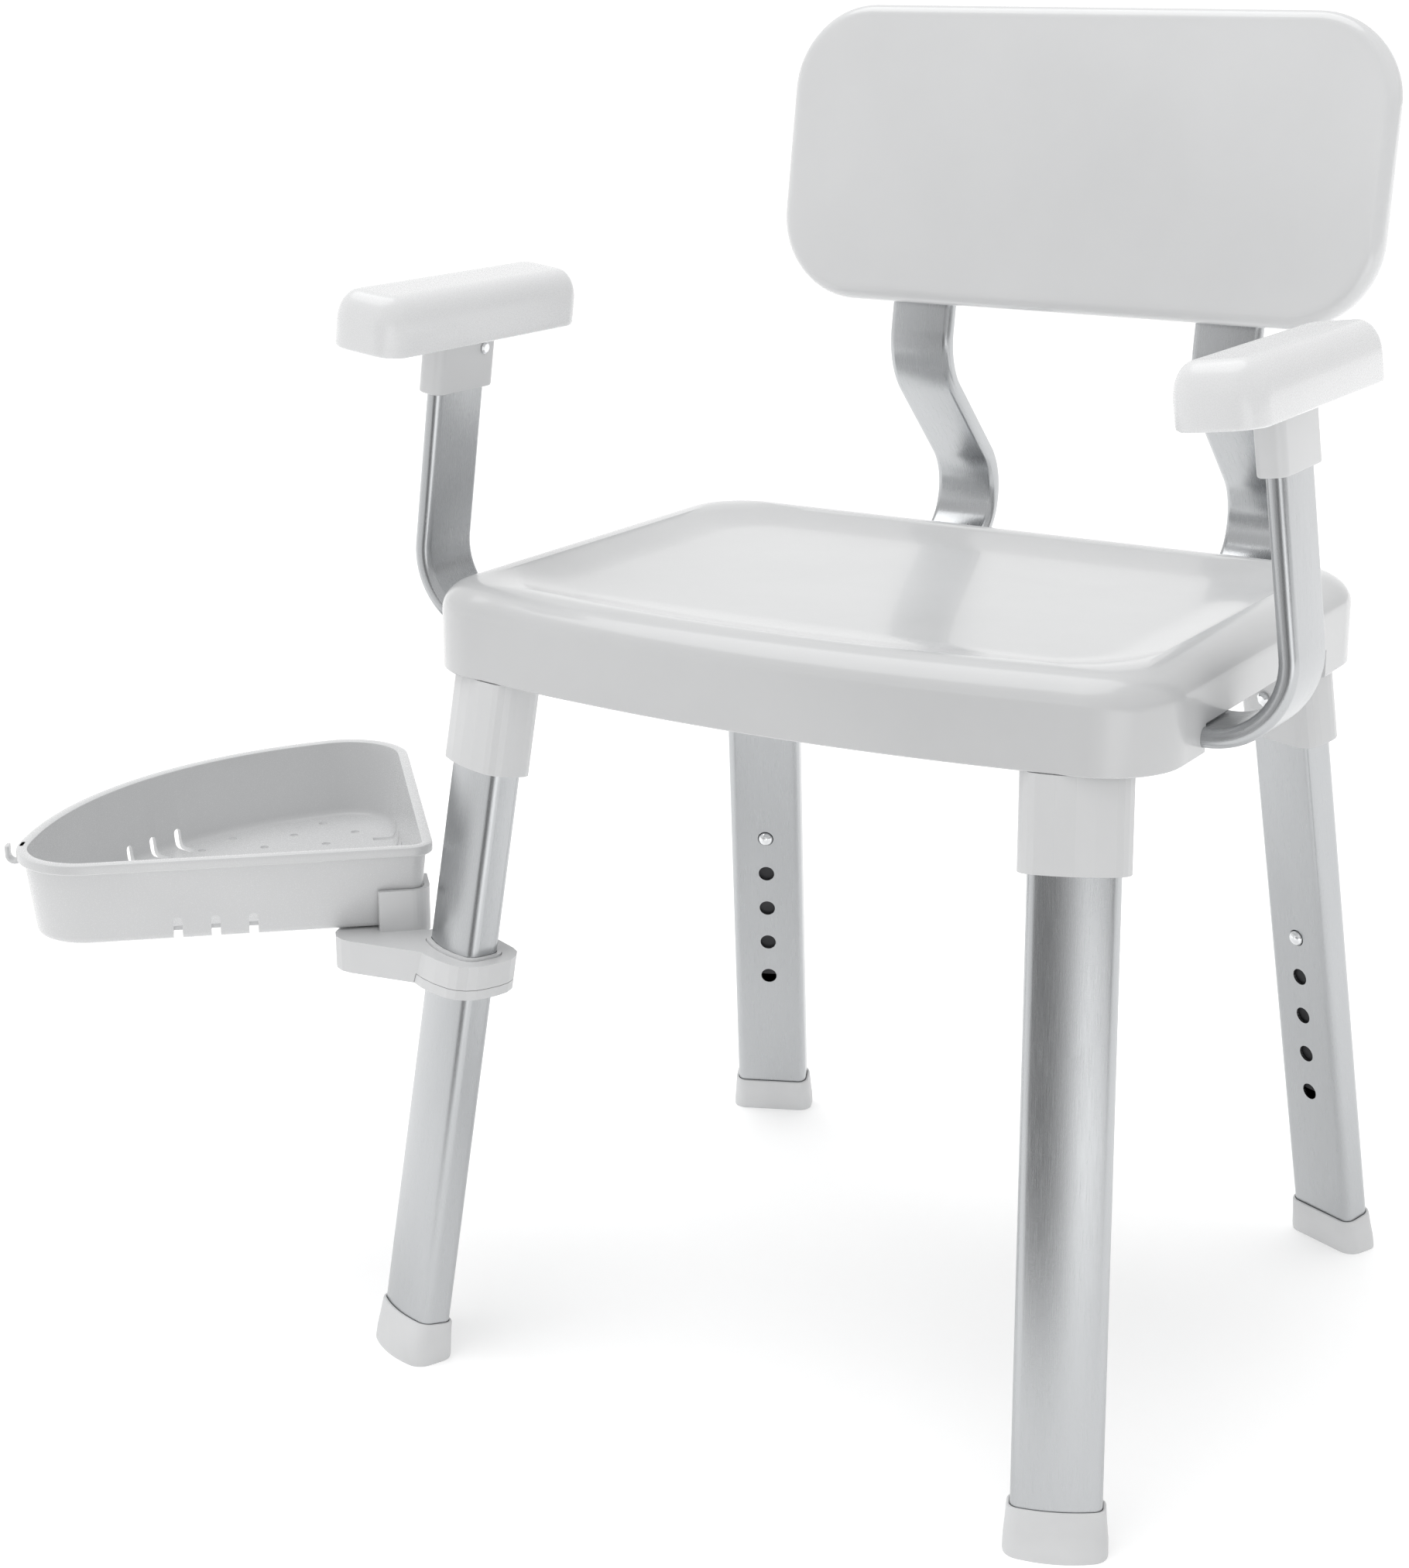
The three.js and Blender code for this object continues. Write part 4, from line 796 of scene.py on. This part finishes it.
def make_world():
    world = bpy.data.worlds.new("studio")
    world.use_nodes = True
    tree = world.node_tree
    links = tree.links
    place = tree.nodes.new("ShaderNodeTexCoord").outputs["Generated"]
    heading = tree.nodes.new("ShaderNodeTexGradient")
    heading.gradient_type = "RADIAL"
    links.new(place, heading.inputs["Vector"])

    def mix_above(axis, start, end):
        """A colour mix that turns from A to B where the direction climbs along the axis."""
        climb = tree.nodes.new("ShaderNodeVectorMath")
        climb.operation = "DOT_PRODUCT"
        climb.inputs[1].default_value = axis
        links.new(place, climb.inputs[0])
        share = tree.nodes.new("ShaderNodeMapRange")
        share.interpolation_type = "SMOOTHSTEP"
        share.inputs["From Min"].default_value = start
        share.inputs["From Max"].default_value = end
        links.new(climb.outputs["Value"], share.inputs["Value"])
        mix = tree.nodes.new("ShaderNodeMix")
        mix.data_type = "RGBA"
        links.new(share.outputs["Result"], mix.inputs[MIX_SHARE])
        return mix

    mix = mix_above(CEILING_EDGE, -0.01, 0.03)
    for socket, levels in ((MIX_A, WALLS), (MIX_B, CEILING)):
        ramp = tree.nodes.new("ShaderNodeValToRGB")
        stops = ramp.color_ramp.elements
        while len(stops) < len(levels):
            stops.new(0.5)
        for stop, (angle, value) in zip(stops, levels):
            stop.position = angle / 360 + 0.5
            stop.color = (value, value, value, 1)
        links.new(heading.outputs["Fac"], ramp.inputs["Fac"])
        links.new(ramp.outputs["Color"], mix.inputs[socket])
    background = tree.nodes["Background"]
    background.inputs["Strength"].default_value = 1.0
    top = mix_above((0, 0, 1), 0.12, 0.38)
    top.inputs[MIX_B].default_value = (ZENITH, ZENITH, ZENITH, 1)
    links.new(mix.outputs[MIX_RESULT], top.inputs[MIX_A])
    links.new(top.outputs[MIX_RESULT], background.inputs["Color"])
    bpy.context.scene.world = world


def make_studio():
    floor_mesh = bpy.data.meshes.new("floor")
    corners = [
        (-FLOOR_SIDE, FLOOR_FRONT, 0), (FLOOR_SIDE, FLOOR_FRONT, 0),
        (FLOOR_SIDE, FLOOR_REAR, 0), (-FLOOR_SIDE, FLOOR_REAR, 0),
    ]
    floor_mesh.from_pydata(corners, [], [(0, 1, 2, 3)])
    floor = bpy.data.objects.new("floor", floor_mesh)
    bpy.context.scene.collection.objects.link(floor)
    shader = Shader("floor_white", Roughness=0.9, Specular_IOR_Level=0.1, Emission_Strength=0.20)
    shader.base.inputs["Emission Color"].default_value = (1, 1, 1, 1)
    cloud = shader.noise(shader.coordinates("Object", (3, 3, 3)), 2)
    shader.tint(cloud, cool_grey(0.93, 0), cool_grey(0.95, 0))
    floor_mesh.materials.append(shader.material)

    make_world()
    sun = bpy.data.lights.new("overhead", "SUN")
    sun.energy = 1.3
    sun.angle = math.radians(60)
    light = bpy.data.objects.new("overhead", sun)
    light.rotation_euler = Vector((0.26, 0.03, -1)).to_track_quat("-Z", "Y").to_euler()
    bpy.context.scene.collection.objects.link(light)
    view = bpy.context.scene.view_settings
    view.view_transform = "Standard"
    view.look = "None"


materials = make_materials()
make_camera()
make_seat(materials["seat"])
for side_name, side_sign in SIDES.items():
    make_arm(side_name, side_sign, materials)
make_back(materials)
for corner_name in CORNERS:
    leg_matrix = leg_frame(corner_name)
    make_leg_tube(corner_name, leg_matrix, materials["aluminium"])
    make_snap_button(corner_name, leg_matrix, materials["steel"])
    make_foot(corner_name, leg_matrix, materials["rubber"])
make_tray(materials)
dress_cad_pieces(materials)
make_studio()
